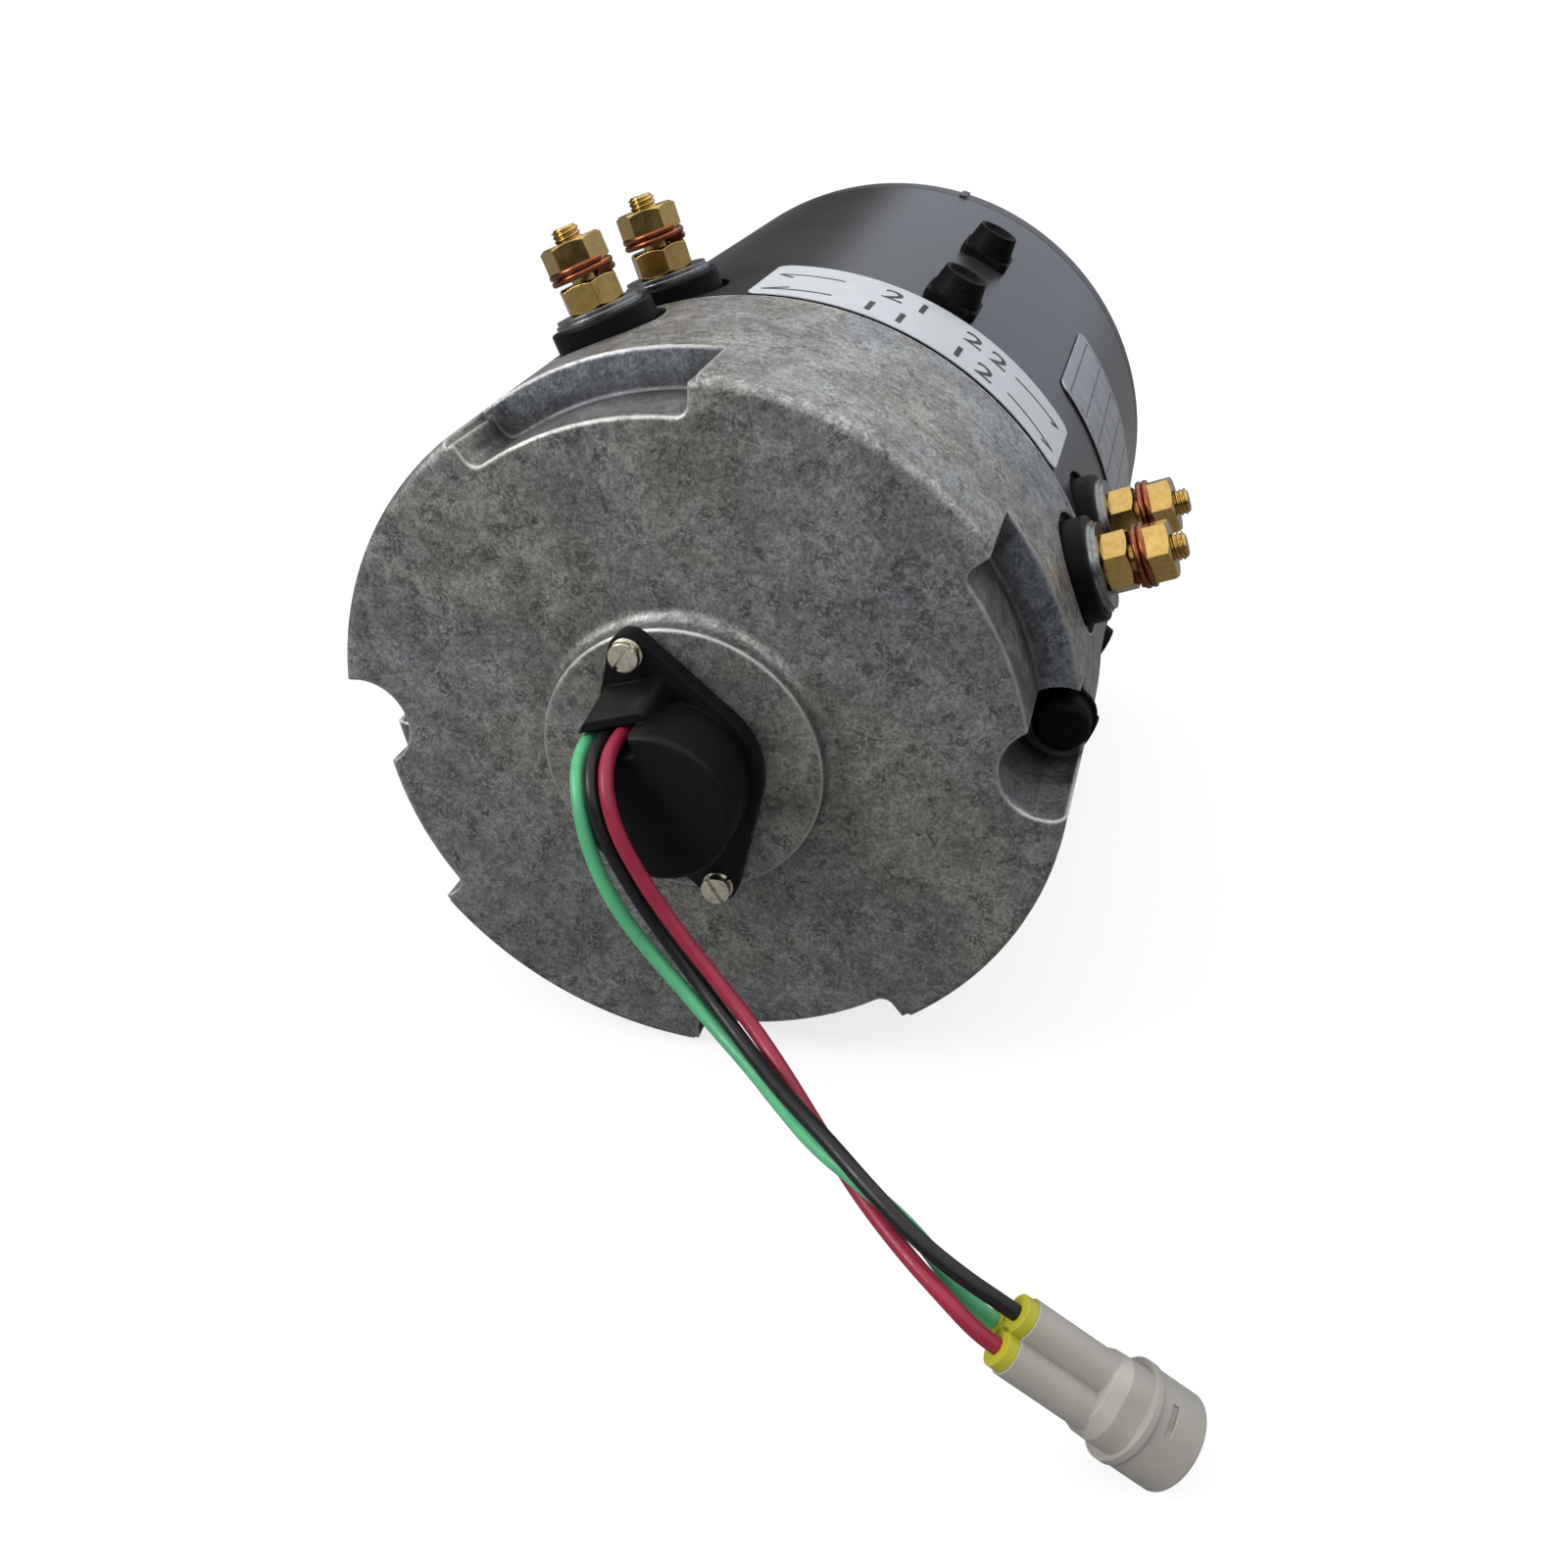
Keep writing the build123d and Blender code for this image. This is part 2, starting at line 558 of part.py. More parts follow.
def make_pole_shoes():
    tip = sector(POLE_BACK_R, POLE_TIP_R, -POLE_TIP_HALF_ANGLE, POLE_TIP_HALF_ANGLE)
    stem_low = POLE_TIP_R + POLE_TIP_THICKNESS / 2
    stem_high = YOKE_INNER_R + 1
    stem = Pos(0, (stem_low + stem_high) / 2) * Rectangle(POLE_BODY_WIDTH, stem_high - stem_low)
    profile = (tip + stem) & Circle(YOKE_INNER_R - FIT_GAP)
    pole = raised(profile, CORE_START, CORE_END)
    for z in pole_screw_heights():
        low = YOKE_INNER_R - POLE_SCREW_GRIP - 2
        pole -= radial(z, 0) * rod(POLE_SCREW_R, low, YOKE_INNER_R + 1)
    return around(POLES, pole)


def make_field_coils():
    """A racetrack winding round each pole, behind its tips."""
    inner_w = POLE_BODY_WIDTH + 2 * RUN_GAP
    inner_l = POLE_LENGTH + 2 * RUN_GAP
    outer_w = inner_w + 2 * COIL_WIDTH
    outer_l = inner_l + 2 * COIL_WIDTH
    face = RectangleRounded(outer_w, outer_l, COIL_CORNER + COIL_WIDTH)
    face -= RectangleRounded(inner_w, inner_l, 1.0)
    low = POLE_BACK_R + COIL_LIFT
    coil = radial(POLE_CENTRE, 0) * raised(face, low, low + COIL_THICKNESS)
    return around(POLES, coil)


def make_pole_screws():
    seat = YOKE_R + TAB_WASHER
    head = Pos(0, 0, seat) * Cone(POLE_SCREW_HEAD_R, POLE_SCREW_TOP_R, POLE_SCREW_HEAD,
                                  align=(Align.CENTER, Align.CENTER, Align.MIN))
    top = seat + POLE_SCREW_HEAD
    dish_r = POLE_SCREW_TOP_R - POLE_SCREW_BRIM
    head -= Pos(0, 0, top - POLE_SCREW_DISH) * Cone(dish_r - POLE_SCREW_DISH, dish_r, POLE_SCREW_DISH + 0.01,
                                                    align=(Align.CENTER, Align.CENTER, Align.MIN))
    screw = head + rod(POLE_SCREW_R, YOKE_INNER_R - POLE_SCREW_GRIP, seat)
    screws = []
    for z in pole_screw_heights():
        screws += around(POLES, radial(z, 0) * screw)
    return screws


def make_tab_washers():
    face = RectangleRounded(TAB_WASHER_SIDE, TAB_WASHER_SIDE, TAB_WASHER_CORNER) - Circle(POLE_SCREW_R + RUN_GAP)
    washer = raised(face, YOKE_R, YOKE_R + TAB_WASHER)
    washers = []
    for z in pole_screw_heights():
        washers += around(POLES, radial(z, 0) * washer)
    return washers


def make_armature_shaft():
    """Sleeve with an internal spline at the drive end, journal and magnet stub at the other."""
    journal_end = BEARING_TOP + 1.5
    shaft = rod(SHAFT_R, SHAFT_START, CORE_END + 2)
    shaft += rod(SHAFT_NECK_R, CORE_END, BEARING_LOW)
    shaft += rod(BEARING_BORE_R, BEARING_LOW - 1, journal_end)
    shaft += rod(SHAFT_STUB_R, journal_end - 1, BOSS_Z - 1.5)
    spline_end = SHAFT_START + SPLINE_DEPTH
    shaft -= rod(SPLINE_ROOT_R, SHAFT_START - 1, spline_end + BUMPER_THICKNESS)
    shaft -= Pos(0, 0, SHAFT_START) * Cone(SPLINE_ROOT_R + SPLINE_LEAD_IN, SPLINE_ROOT_R, SPLINE_LEAD_IN,
                                           align=(Align.CENTER, Align.CENTER, Align.MIN))
    pitch_r = (SPLINE_ROOT_R + SPLINE_TIP_R) / 2
    tooth_width = 2 * pi * pitch_r / SPLINE_TEETH * SPLINE_TOOTH_SHARE
    reach = SPLINE_ROOT_R + 0.5
    tooth_face = make_face(Polyline(
        (-tooth_width * 0.34, SPLINE_TIP_R),
        (tooth_width * 0.34, SPLINE_TIP_R),
        (tooth_width * 0.72, reach),
        (-tooth_width * 0.72, reach),
        close=True))
    tooth = raised(tooth_face, SHAFT_START + SPLINE_LEAD_IN, spline_end)
    shaft += around(SPLINE_TEETH, tooth)
    return shaft


def make_spline_bumper():
    low = SHAFT_START + SPLINE_DEPTH
    return rod(SPLINE_ROOT_R - FIT_GAP, low, low + BUMPER_THICKNESS)


def make_armature_core():
    """Stack of slotted laminations."""
    slot = Pos(0, (SLOT_FLOOR_R + CORE_R - SLOT_LIP) / 2) * Rectangle(SLOT_WIDTH, CORE_R - SLOT_LIP - SLOT_FLOOR_R)
    mouth = Pos(0, CORE_R) * Rectangle(SLOT_MOUTH, 2 * SLOT_LIP + 1)
    profile = Circle(CORE_R) - Circle(SHAFT_R + FIT_GAP)
    profile -= around(CORE_SLOTS, slot + mouth)
    return raised(profile, CORE_START, CORE_END)


def make_armature_winding():
    """Insulated bars in the slots, joined by the end turns."""
    top_r = CORE_R - SLOT_LIP - 2 * FIT_GAP
    width = SLOT_WIDTH - 4 * FIT_GAP
    low_r = SLOT_FLOOR_R + 2 * FIT_GAP
    drive_z = CORE_START - WINDING_OVERHANG
    comm_z = COMM_START - 2 * RUN_GAP
    bar = raised(Pos(0, (top_r + low_r) / 2) * Rectangle(width, top_r - low_r), CORE_START - 4, CORE_END + 4)
    drive_turns = ring(WINDING_R, WINDING_INNER_R, drive_z, CORE_START - FIT_GAP)
    drive_turns = fillet(drive_turns.edges().group_by(Axis.Z)[0], WINDING_ROUND)
    comm_turns = revolved([
        (SHAFT_R + 1, CORE_END + FIT_GAP),
        (WINDING_R, CORE_END + FIT_GAP),
        (WINDING_R, CORE_END + WINDING_OVERHANG - WINDING_ROUND),
        (WINDING_R - WINDING_ROUND, CORE_END + WINDING_OVERHANG),
        (RISER_R - 1, comm_z - 2),
        (RISER_R - 3, comm_z),
        (SHAFT_R + 1, comm_z),
    ])
    winding = drive_turns + comm_turns
    return winding + around(CORE_SLOTS, bar)


def make_commutator_bars():
    pitch = 360.0 / COMM_BARS
    half = pitch / 2 - degrees(asin(COMM_SLOT / 2 / COMM_R))
    working = raised(sector(COMM_R, COMM_BAR_INNER_R, -half, half), COMM_START, COMM_START + COMM_LENGTH)
    riser = raised(sector(RISER_R, COMM_BAR_INNER_R, -half, half), COMM_START, COMM_START + RISER_LENGTH)
    return around(COMM_BARS, working + riser)


def make_commutator_hub():
    hub = ring(COMM_BAR_INNER_R, SHAFT_NECK_R + FIT_GAP, COMM_START, COMM_START + COMM_LENGTH + 1.5)
    return hub + ring(COMM_BAR_INNER_R + 3, SHAFT_NECK_R + FIT_GAP, COMM_START + COMM_LENGTH, COMM_START + COMM_LENGTH + 1.5)


def make_speed_magnet():
    low = BEARING_TOP + 1.5 + FIT_GAP
    return ring(MAGNET_R, SHAFT_STUB_R + FIT_GAP, low, low + MAGNET_THICKNESS)


def bearing_groove():
    """Cutter for the raceways, a ball's section turned about the axis with its running gap."""
    middle = (BEARING_TOP + BEARING_LOW) / 2
    return Pos(0, 0, middle) * Torus(RACE_R, BALL_R + TURN_GAP)


def make_bearing_outer_ring():
    return ring(BEARING_OUTER_R, BEARING_OUTER_RING_R, BEARING_LOW, BEARING_TOP) - bearing_groove()


def make_bearing_inner_ring():
    bore = BEARING_BORE_R + FIT_GAP
    return ring(BEARING_INNER_RING_R, bore, BEARING_LOW, BEARING_TOP) - bearing_groove()


def make_bearing_balls():
    ball = Pos(0, RACE_R, (BEARING_TOP + BEARING_LOW) / 2) * Sphere(BALL_R)
    return around(BEARING_BALLS, ball)


def make_bearing_cage():
    middle = (BEARING_TOP + BEARING_LOW) / 2
    cage = ring(RACE_R + CAGE_THICKNESS / 2, RACE_R - CAGE_THICKNESS / 2, middle - CAGE_HALF_WIDTH, middle + CAGE_HALF_WIDTH)
    window = radial(middle, 0) * rod(BALL_R + FIT_GAP, RACE_R - CAGE_THICKNESS, RACE_R + CAGE_THICKNESS)
    return cage - around(BEARING_BALLS, window)


def make_bearing_seals():
    inner = BEARING_INNER_RING_R + RUN_GAP
    low = ring(BEARING_OUTER_RING_R, inner, BEARING_LOW + 0.4, BEARING_LOW + 0.4 + SEAL_THICKNESS)
    high = ring(BEARING_OUTER_RING_R, inner, BEARING_TOP - 0.4 - SEAL_THICKNESS, BEARING_TOP - 0.4)
    return [low, high]


def make_bearing_retainer():
    """Inside snap ring that keeps the bearing in the hub."""
    outer = BEARING_OUTER_R + RETAINER_DEPTH
    half = RETAINER_OPENING / 2
    face = sector(outer, outer - RETAINER_WIDTH, half, 360 - half)
    return raised(face, BEARING_LOW - RETAINER_THICKNESS, BEARING_LOW)


def make_brush_plate():
    plate = ring(BRUSH_PLATE_R, BRUSH_PLATE_BORE_R, BRUSH_PLATE_Z, PLATE_TOP)
    hole = spot(POST_PCR, POST_ANGLE) * rod(POST_SCREW_R + FIT_GAP, BRUSH_PLATE_Z - 1, PLATE_TOP + 1)
    return plate - around(BRUSHES, hole)


def make_brush_plate_screws():
    head = rod(POST_SCREW_HEAD_R, BRUSH_PLATE_Z - POST_SCREW_HEAD, BRUSH_PLATE_Z)
    head -= Pos(0, 0, BRUSH_PLATE_Z - POST_SCREW_HEAD) * Box(2 * POST_SCREW_HEAD_R + 1, 1.0, 2.4)
    screw = head + rod(POST_SCREW_R, BRUSH_PLATE_Z, PLATE_TOP + POST_SCREW_GRIP)
    return around(BRUSHES, spot(POST_PCR, POST_ANGLE) * screw)


def make_brush_boxes():
    """Brass boxes that guide the brushes, open at both ends, fixed under the plate."""
    inner_x = BRUSH_THICKNESS + 2 * BOX_CLEARANCE
    inner_z = BRUSH_WIDTH + 2 * BOX_CLEARANCE
    low_z = BRUSH_CENTRE - inner_z / 2 - BOX_WALL
    length = BOX_OUTER_R - BOX_INNER_R
    middle_r = (BOX_OUTER_R + BOX_INNER_R) / 2
    outer = Pos(0, middle_r, (low_z + BRUSH_PLATE_Z) / 2) * Box(
        inner_x + 2 * BOX_WALL, length, BRUSH_PLATE_Z - low_z)
    inner = Pos(0, middle_r, BRUSH_CENTRE) * Box(inner_x, length + 2, inner_z)
    return around(BRUSHES, outer - inner)


def make_brush():
    """Carbon brush, its face curved to the commutator."""
    top_r = COMM_R + RUN_GAP + BRUSH_LENGTH
    block = Pos(0, top_r, BRUSH_CENTRE) * Box(
        BRUSH_THICKNESS, BRUSH_LENGTH + 3, BRUSH_WIDTH, align=(Align.CENTER, Align.MAX, Align.CENTER))
    return block - rod(COMM_R + RUN_GAP, BRUSH_CENTRE - BRUSH_WIDTH, BRUSH_CENTRE + BRUSH_WIDTH)


def make_brush_spring():
    """Constant-force spring: a roll behind the brush and its ribbon beside the box."""
    back_r = COMM_R + RUN_GAP + BRUSH_LENGTH
    ribbon_x = BRUSH_THICKNESS / 2 + BOX_CLEARANCE + BOX_WALL + RUN_GAP + RIBBON / 2
    roll_x = ribbon_x + RIBBON / 2 - ROLL_R
    roll_y = back_r + FIT_GAP + ROLL_R
    low = BRUSH_CENTRE - ROLL_LENGTH / 2
    roll = Pos(roll_x, roll_y) * ring(ROLL_R, ROLL_R - 2.2, low, low + ROLL_LENGTH)
    ribbon = Pos(ribbon_x, (roll_y + RIBBON_END_R) / 2, BRUSH_CENTRE) * Box(RIBBON, roll_y - RIBBON_END_R, ROLL_LENGTH)
    return roll + ribbon


def inner_face(wall_r):
    """Where a flat washer seats inside a round wall: its edge touches first."""
    return sqrt(wall_r ** 2 - INNER_WASHER_R ** 2)


def make_terminal_insulators():
    """Outer insulators: a thick collar on the flat and a bush through the wall."""
    collar = rounded_top(rod(INSULATOR_R, 0, INSULATOR_THICKNESS), INSULATOR_ROUND)
    pieces = []
    for place, flat, wall_r in terminals():
        bush = rod(BUSH_R, inner_face(wall_r) + 0.5 - flat, 1)
        stack = place * Pos(0, 0, flat)
        pieces.append(stack * (collar + bush - rod(STUD_R + FIT_GAP, -2 * YOKE_WALL, STUD_END)))
    return pieces


def make_inner_insulators():
    pieces = []
    for place, flat, wall_r in terminals():
        top = inner_face(wall_r)
        pieces.append(place * ring(INNER_WASHER_R, STUD_R + FIT_GAP, top - INNER_WASHER, top))
    return pieces


def make_terminal_studs():
    pieces = []
    for place, flat, wall_r in terminals():
        low = inner_face(wall_r) - INNER_WASHER
        nut_top = flat + STUD_END
        stud = hexagon_bar(STUD_HEAD_AF, low - STUD_HEAD, low) + rod(STUD_R, low, nut_top)
        stud += rod(STUD_END_R, nut_top - 1, nut_top + STUD_PROUD)
        stud = chamfer(stud.edges().group_by(Axis.Z)[-1], STUD_CHAMFER)
        pieces.append(place * stud)
    return pieces


def make_terminal_washers():
    """Two thin washers on each insulator, the outer one a little smaller."""
    pieces = []
    for place, flat, wall_r in terminals():
        for number in range(2):
            low = WASHER_LOW + number * THIN_WASHER
            washer = ring(WASHER_R - number * WASHER_STEP, STUD_R + FIT_GAP, low, low + THIN_WASHER)
            pieces.append(place * Pos(0, 0, flat) * washer)
    return pieces


def brass_nut(low):
    """Hexagon nut with turned corners at both ends."""
    bar = hexagon_bar(NUT_AF, low, low + NUT_HEIGHT)
    corner_r = NUT_AF / 2 / cos(pi / 6)
    turned = revolved([
        (0, low),
        (NUT_AF / 2 - 0.1, low),
        (corner_r + 0.1, low + NUT_EDGE),
        (corner_r + 0.1, low + NUT_HEIGHT - NUT_EDGE),
        (NUT_AF / 2 - 0.1, low + NUT_HEIGHT),
        (0, low + NUT_HEIGHT),
    ])
    return (bar & turned) - rod(STUD_R + FIT_GAP, low - 1, low + NUT_HEIGHT + 1)


def on_studs(shape):
    """Copies of a piece of the stacks on the four studs."""
    return [place * Pos(0, 0, flat) * shape for place, flat, wall in terminals()]


def make_lower_nuts():
    return on_studs(Rot(0, 0, LOWER_NUT_TURN) * brass_nut(NUT_LOW))


def make_spring_washers():
    """Two split washers between the nuts of each terminal, one on the other."""
    half = SPRING_WASHER_OPENING / 2
    face = sector(SPRING_WASHER_R, STUD_R + FIT_GAP, half, 360 - half)
    first = raised(face, SPRING_LOW, SPRING_LOW + SPRING_WASHER)
    second = Rot(0, 0, 140) * raised(face, SPRING_LOW + SPRING_WASHER, UPPER_NUT_LOW)
    return on_studs(first) + on_studs(second)


def make_upper_nuts():
    return on_studs(Rot(0, 0, UPPER_NUT_TURN) * brass_nut(UPPER_NUT_LOW))


def curved_sheet(first, last, start, width, thickness):
    """Sheet with round corners, rolled onto the yoke."""
    low = BODY_LENGTH - start - width
    under = YOKE_R + GLUE_GAP
    sheet = raised(sector(under + thickness, under, first, last), low, low + width)
    middle = (first + last) / 2
    span = 2 * under * sin(radians((last - first) / 2))
    blank = extrude(RectangleRounded(span, width, SHEET_CORNER), 2 * YOKE_R)
    return sheet & (radial(low + width / 2, middle) * blank)


def make_marking_label():
    return curved_sheet(-LABEL_HALF_ANGLE, LABEL_HALF_ANGLE, LABEL_START, LABEL_WIDTH, LABEL_THICKNESS)


def make_rating_plate():
    return curved_sheet(PLATE_ANGLES[0], PLATE_ANGLES[1], PLATE_START, PLATE_WIDTH, PLATE_THICKNESS)


def sensor_outline():
    """Two-hole flange: a round middle and two ears, joined by straight flanks."""
    lean = asin((SENSOR_R - SENSOR_TIP_R) / SENSOR_SCREW_PCR)
    middle = (SENSOR_R * cos(lean), SENSOR_R * sin(lean))
    ear = (SENSOR_TIP_R * cos(lean), SENSOR_SCREW_PCR + SENSOR_TIP_R * sin(lean))
    reach = SENSOR_SCREW_PCR + SENSOR_TIP_R
    edge = []
    for side in (1, -1):
        waist = [(side * middle[0], up * middle[1]) for up in (1, -1)]
        tips = [(side * ear[0], up * ear[1]) for up in (1, -1)]
        edge.append(ThreePointArc(waist[0], (side * SENSOR_R, 0), waist[1]))
        edge += [Line(waist[0], tips[0]), Line(waist[1], tips[1])]
    for up in (1, -1):
        edge.append(ThreePointArc((ear[0], up * ear[1]), (0, up * reach), (-ear[0], up * ear[1])))
    return make_face(edge)


def exit_slot():
    """The slot in the cap that the wires leave by, open at the edge of the cap."""
    width = EXIT_LAST - EXIT_FIRST
    top = BOSS_Z + SENSOR_HEIGHT
    return Pos(EXIT_LAST - width / 2, EXIT_ALONG, top - EXIT_DEPTH) * Box(
        width, EXIT_HEIGHT, EXIT_DEPTH + 1, align=(Align.CENTER, Align.CENTER, Align.MIN))


def make_sensor_body():
    base = raised(sensor_outline(), BOSS_Z, BOSS_Z + SENSOR_FLANGE)
    cap = rounded_top(rod(SENSOR_CAP_R, BOSS_Z, BOSS_Z + SENSOR_HEIGHT), SENSOR_EDGE)
    body = base + cap - exit_slot()
    body -= rod(SENSOR_CAVITY_R, BOSS_Z - 1, BOSS_Z + SENSOR_CAVITY)
    for side in (-1, 1):
        body -= Pos(0, side * SENSOR_SCREW_PCR) * rod(SENSOR_SCREW_R + FIT_GAP, BOSS_Z - 1, BOSS_Z + SENSOR_HEIGHT)
    return at_angle(SENSOR_ANGLE, body)


def make_sensor_element():
    """Sensing board inside the cap, facing the magnet."""
    top = BOSS_Z + SENSOR_CAVITY
    return rod(SENSOR_CAVITY_R - RUN_GAP, top - 2.0, top)


def make_sensor_screws():
    low = BOSS_Z + SENSOR_FLANGE + SENSOR_WASHER
    head = rod(SENSOR_SCREW_HEAD_R, low, low + SENSOR_SCREW_HEAD)
    head -= Pos(0, 0, low + SENSOR_SCREW_HEAD) * Box(2 * SENSOR_SCREW_HEAD_R + 1, SENSOR_SCREW_SLOT, SENSOR_SCREW_HEAD)
    screw = head + rod(SENSOR_SCREW_R, BOSS_Z - SENSOR_SCREW_GRIP, low)
    turns = {1: 55.0, -1: 10.0}
    pieces = []
    for side, turn in turns.items():
        pieces.append(at_angle(SENSOR_ANGLE, Pos(0, side * SENSOR_SCREW_PCR) * Rot(0, 0, turn) * screw))
    return pieces


def make_sensor_washers():
    low = BOSS_Z + SENSOR_FLANGE
    washer = ring(SENSOR_WASHER_R, SENSOR_SCREW_R + FIT_GAP, low, low + SENSOR_WASHER)
    return [at_angle(SENSOR_ANGLE, Pos(0, side * SENSOR_SCREW_PCR) * washer) for side in (-1, 1)]


def placed(shape):
    """Lay a bench piece into the motor's frame."""
    return Rot(90, 0, 0) * Rot(0, 0, -LABEL_TURN) * shape


# The three wires run from the exit slot, droop in front of the bell and reach the connector,
# whose nose rests on the surface that the motor lies on. Points are in the motor's frame.
WIRE_START_Y = -(BOSS_Z + SENSOR_HEIGHT - EXIT_DEPTH)
WIRE_ROUTES = {
    "red": [
        (-7.3, WIRE_START_Y, 13.7),
        (-8.7, -264.1, 13.5),
        (-8.0, -271.4, 8.7),
        (-4.5, -276.0, 0.0),
        (1.8, -277.4, -11.0),
        (9.3, -278.8, -21.0),
        (18.4, -282.2, -29.3),
        (28.3, -288.1, -35.3),
        (37.7, -296.5, -39.9),
        (47.0, -306.2, -43.4),
        (56.6, -316.7, -45.9),
        (67.0, -326.7, -47.4),
        (75.6, -332.6, -50.0),
    ],
    "black": [
        (-11.5, WIRE_START_Y, 12.3),
        (-12.5, -264.2, 12.2),
        (-11.3, -271.3, 7.2),
        (-7.6, -275.5, -1.9),
        (-2.2, -276.3, -12.2),
        (4.2, -277.0, -22.0),
        (12.3, -280.1, -30.1),
        (21.4, -286.4, -35.3),
        (30.4, -294.8, -37.4),
        (39.3, -303.8, -37.5),
        (49.0, -312.5, -37.4),
        (59.0, -321.0, -39.1),
        (69.9, -327.5, -43.2),
        (78.5, -330.0, -47.0),
    ],
    "green": [
        (-16.1, WIRE_START_Y, 10.7),
        (-16.2, -264.2, 10.2),
        (-14.2, -271.4, 4.8),
        (-10.8, -276.0, -4.8),
        (-6.0, -277.7, -15.7),
        (1.0, -278.7, -25.4),
        (9.9, -281.2, -33.1),
        (19.5, -286.5, -38.4),
        (29.0, -293.7, -40.8),
        (37.7, -302.2, -41.5),
        (46.6, -311.0, -41.5),
        (57.1, -317.9, -41.7),
        (68.4, -323.6, -44.9),
        (75.6, -327.5, -50.9),
    ],
}
WIRE_LAST_RUN = 4.3
ARC_SHARE = 0.45


def plug_place():
    """Connector frame: Z along it from the wire end to the nose, X across."""
    return Plane(origin=PLUG_REAR, x_dir=PLUG_ACROSS, z_dir=PLUG_ALONG)


def in_plug(shape):
    return plug_place().location * shape


def wire_points(colour):
    """The wire's whole route, with its straight end into the seal."""
    x, y = WIRE_SEATS[colour]
    end = plug_place().from_local_coords((x, y, 0.0))
    before = plug_place().from_local_coords((x, y, -WIRE_LAST_RUN))
    points = [Vector(*p) for p in WIRE_ROUTES[colour]]
    return points + [Vector(*before), Vector(*end)]


def tube_along(points, radius, name):
    """Tube of straight runs joined by tangent arcs, each as large as its runs allow."""
    radii = []
    for before, here, after in zip(points, points[1:], points[2:]):
        half_turn = radians((here - before).get_angle(after - here)) / 2
        run = min((here - before).length, (after - here).length)
        radii.append(ARC_SHARE * run / tan(half_turn))
    path = FilletPolyline(*points, radius=radii)
    start = Plane(origin=points[0], z_dir=points[1] - points[0])
    tube = sweep(start * Circle(radius), path)
    share = tube.volume / (pi * radius ** 2 * path.length)
    print(f"{name}: {path.length:.1f} long, radii {', '.join(f'{r:.1f}' for r in radii)}, volume share {share:.4f}")
    return tube


def make_wire(colour):
    return tube_along(wire_points(colour), WIRE_R, "lead_" + colour)


def seat_places():
    return [Pos(x, y) for x, y in WIRE_SEATS.values()]


def make_connector_housing():
    """Sealed housing: three wire sockets, a square neck and a round barrel open at the nose."""
    lobes = [seat * rod(LOBE_R, SEAL_PROUD, LOBE_END) for seat in seat_places()]
    filler = make_face(Polyline(*[(x, y) for x, y in WIRE_SEATS.values()], close=True))
    body = lobes[0] + lobes[1] + lobes[2] + raised(filler, SEAL_PROUD, LOBE_END)
    neck = loft([Pos(0, 0, LOBE_END - 1.0) * RectangleRounded(NECK_SIDE - 2, NECK_SIDE - 2, NECK_CORNER),
                 Pos(0, 0, LOBE_END + 2.0) * RectangleRounded(NECK_SIDE, NECK_SIDE, NECK_CORNER)])
    neck += raised(RectangleRounded(NECK_SIDE, NECK_SIDE, NECK_CORNER), LOBE_END + 2.0, NECK_END + 1)
    barrel = rounded_top(rod(BARREL_R, NECK_END, PLUG_LENGTH), 0.5)
    lip = rod(BARREL_R + 0.35, NECK_END, NECK_END + BARREL_LIP)
    body = body + neck + barrel + lip
    body -= ring(BARREL_R - BARREL_WALL, 0.001, PLUG_LENGTH - BARREL_DEPTH, PLUG_LENGTH + 1)
    for seat in seat_places():
        body -= seat * rod(SEAL_R + FIT_GAP, SEAL_PROUD - 1, SEAL_LENGTH)
    window = Pos(0, BARREL_R, NECK_END + BARREL_LIP + LATCH_RISE) * Box(LATCH_WIDTH, BARREL_WALL, LATCH_HEIGHT)
    body -= [Rot(0, 0, LATCH_TURN) * window, Rot(0, 0, LATCH_TURN + 180) * window]
    return in_plug(body)


def make_connector_core():
    """Terminal carrier inside the barrel."""
    low = PLUG_LENGTH - BARREL_DEPTH
    carrier = raised(RectangleRounded(CORE_SIDE, CORE_SIDE, 2.0), low, low + BARREL_DEPTH / 3)
    for seat in seat_places():
        carrier -= seat * rod(PIN_R + FIT_GAP, low - 1, low + BARREL_DEPTH)
    return in_plug(carrier)


def make_connector_pins():
    low = PLUG_LENGTH - BARREL_DEPTH
    pin = rod(PIN_R, low, low + PIN_LENGTH)
    return [in_plug(seat * pin) for seat in seat_places()]


def make_wire_seals():
    seal = rod(SEAL_FLANGE_R, 0.0, SEAL_PROUD) + rod(SEAL_R, 0.0, SEAL_LENGTH)
    return [in_plug(seat * seal) for seat in seat_places()]


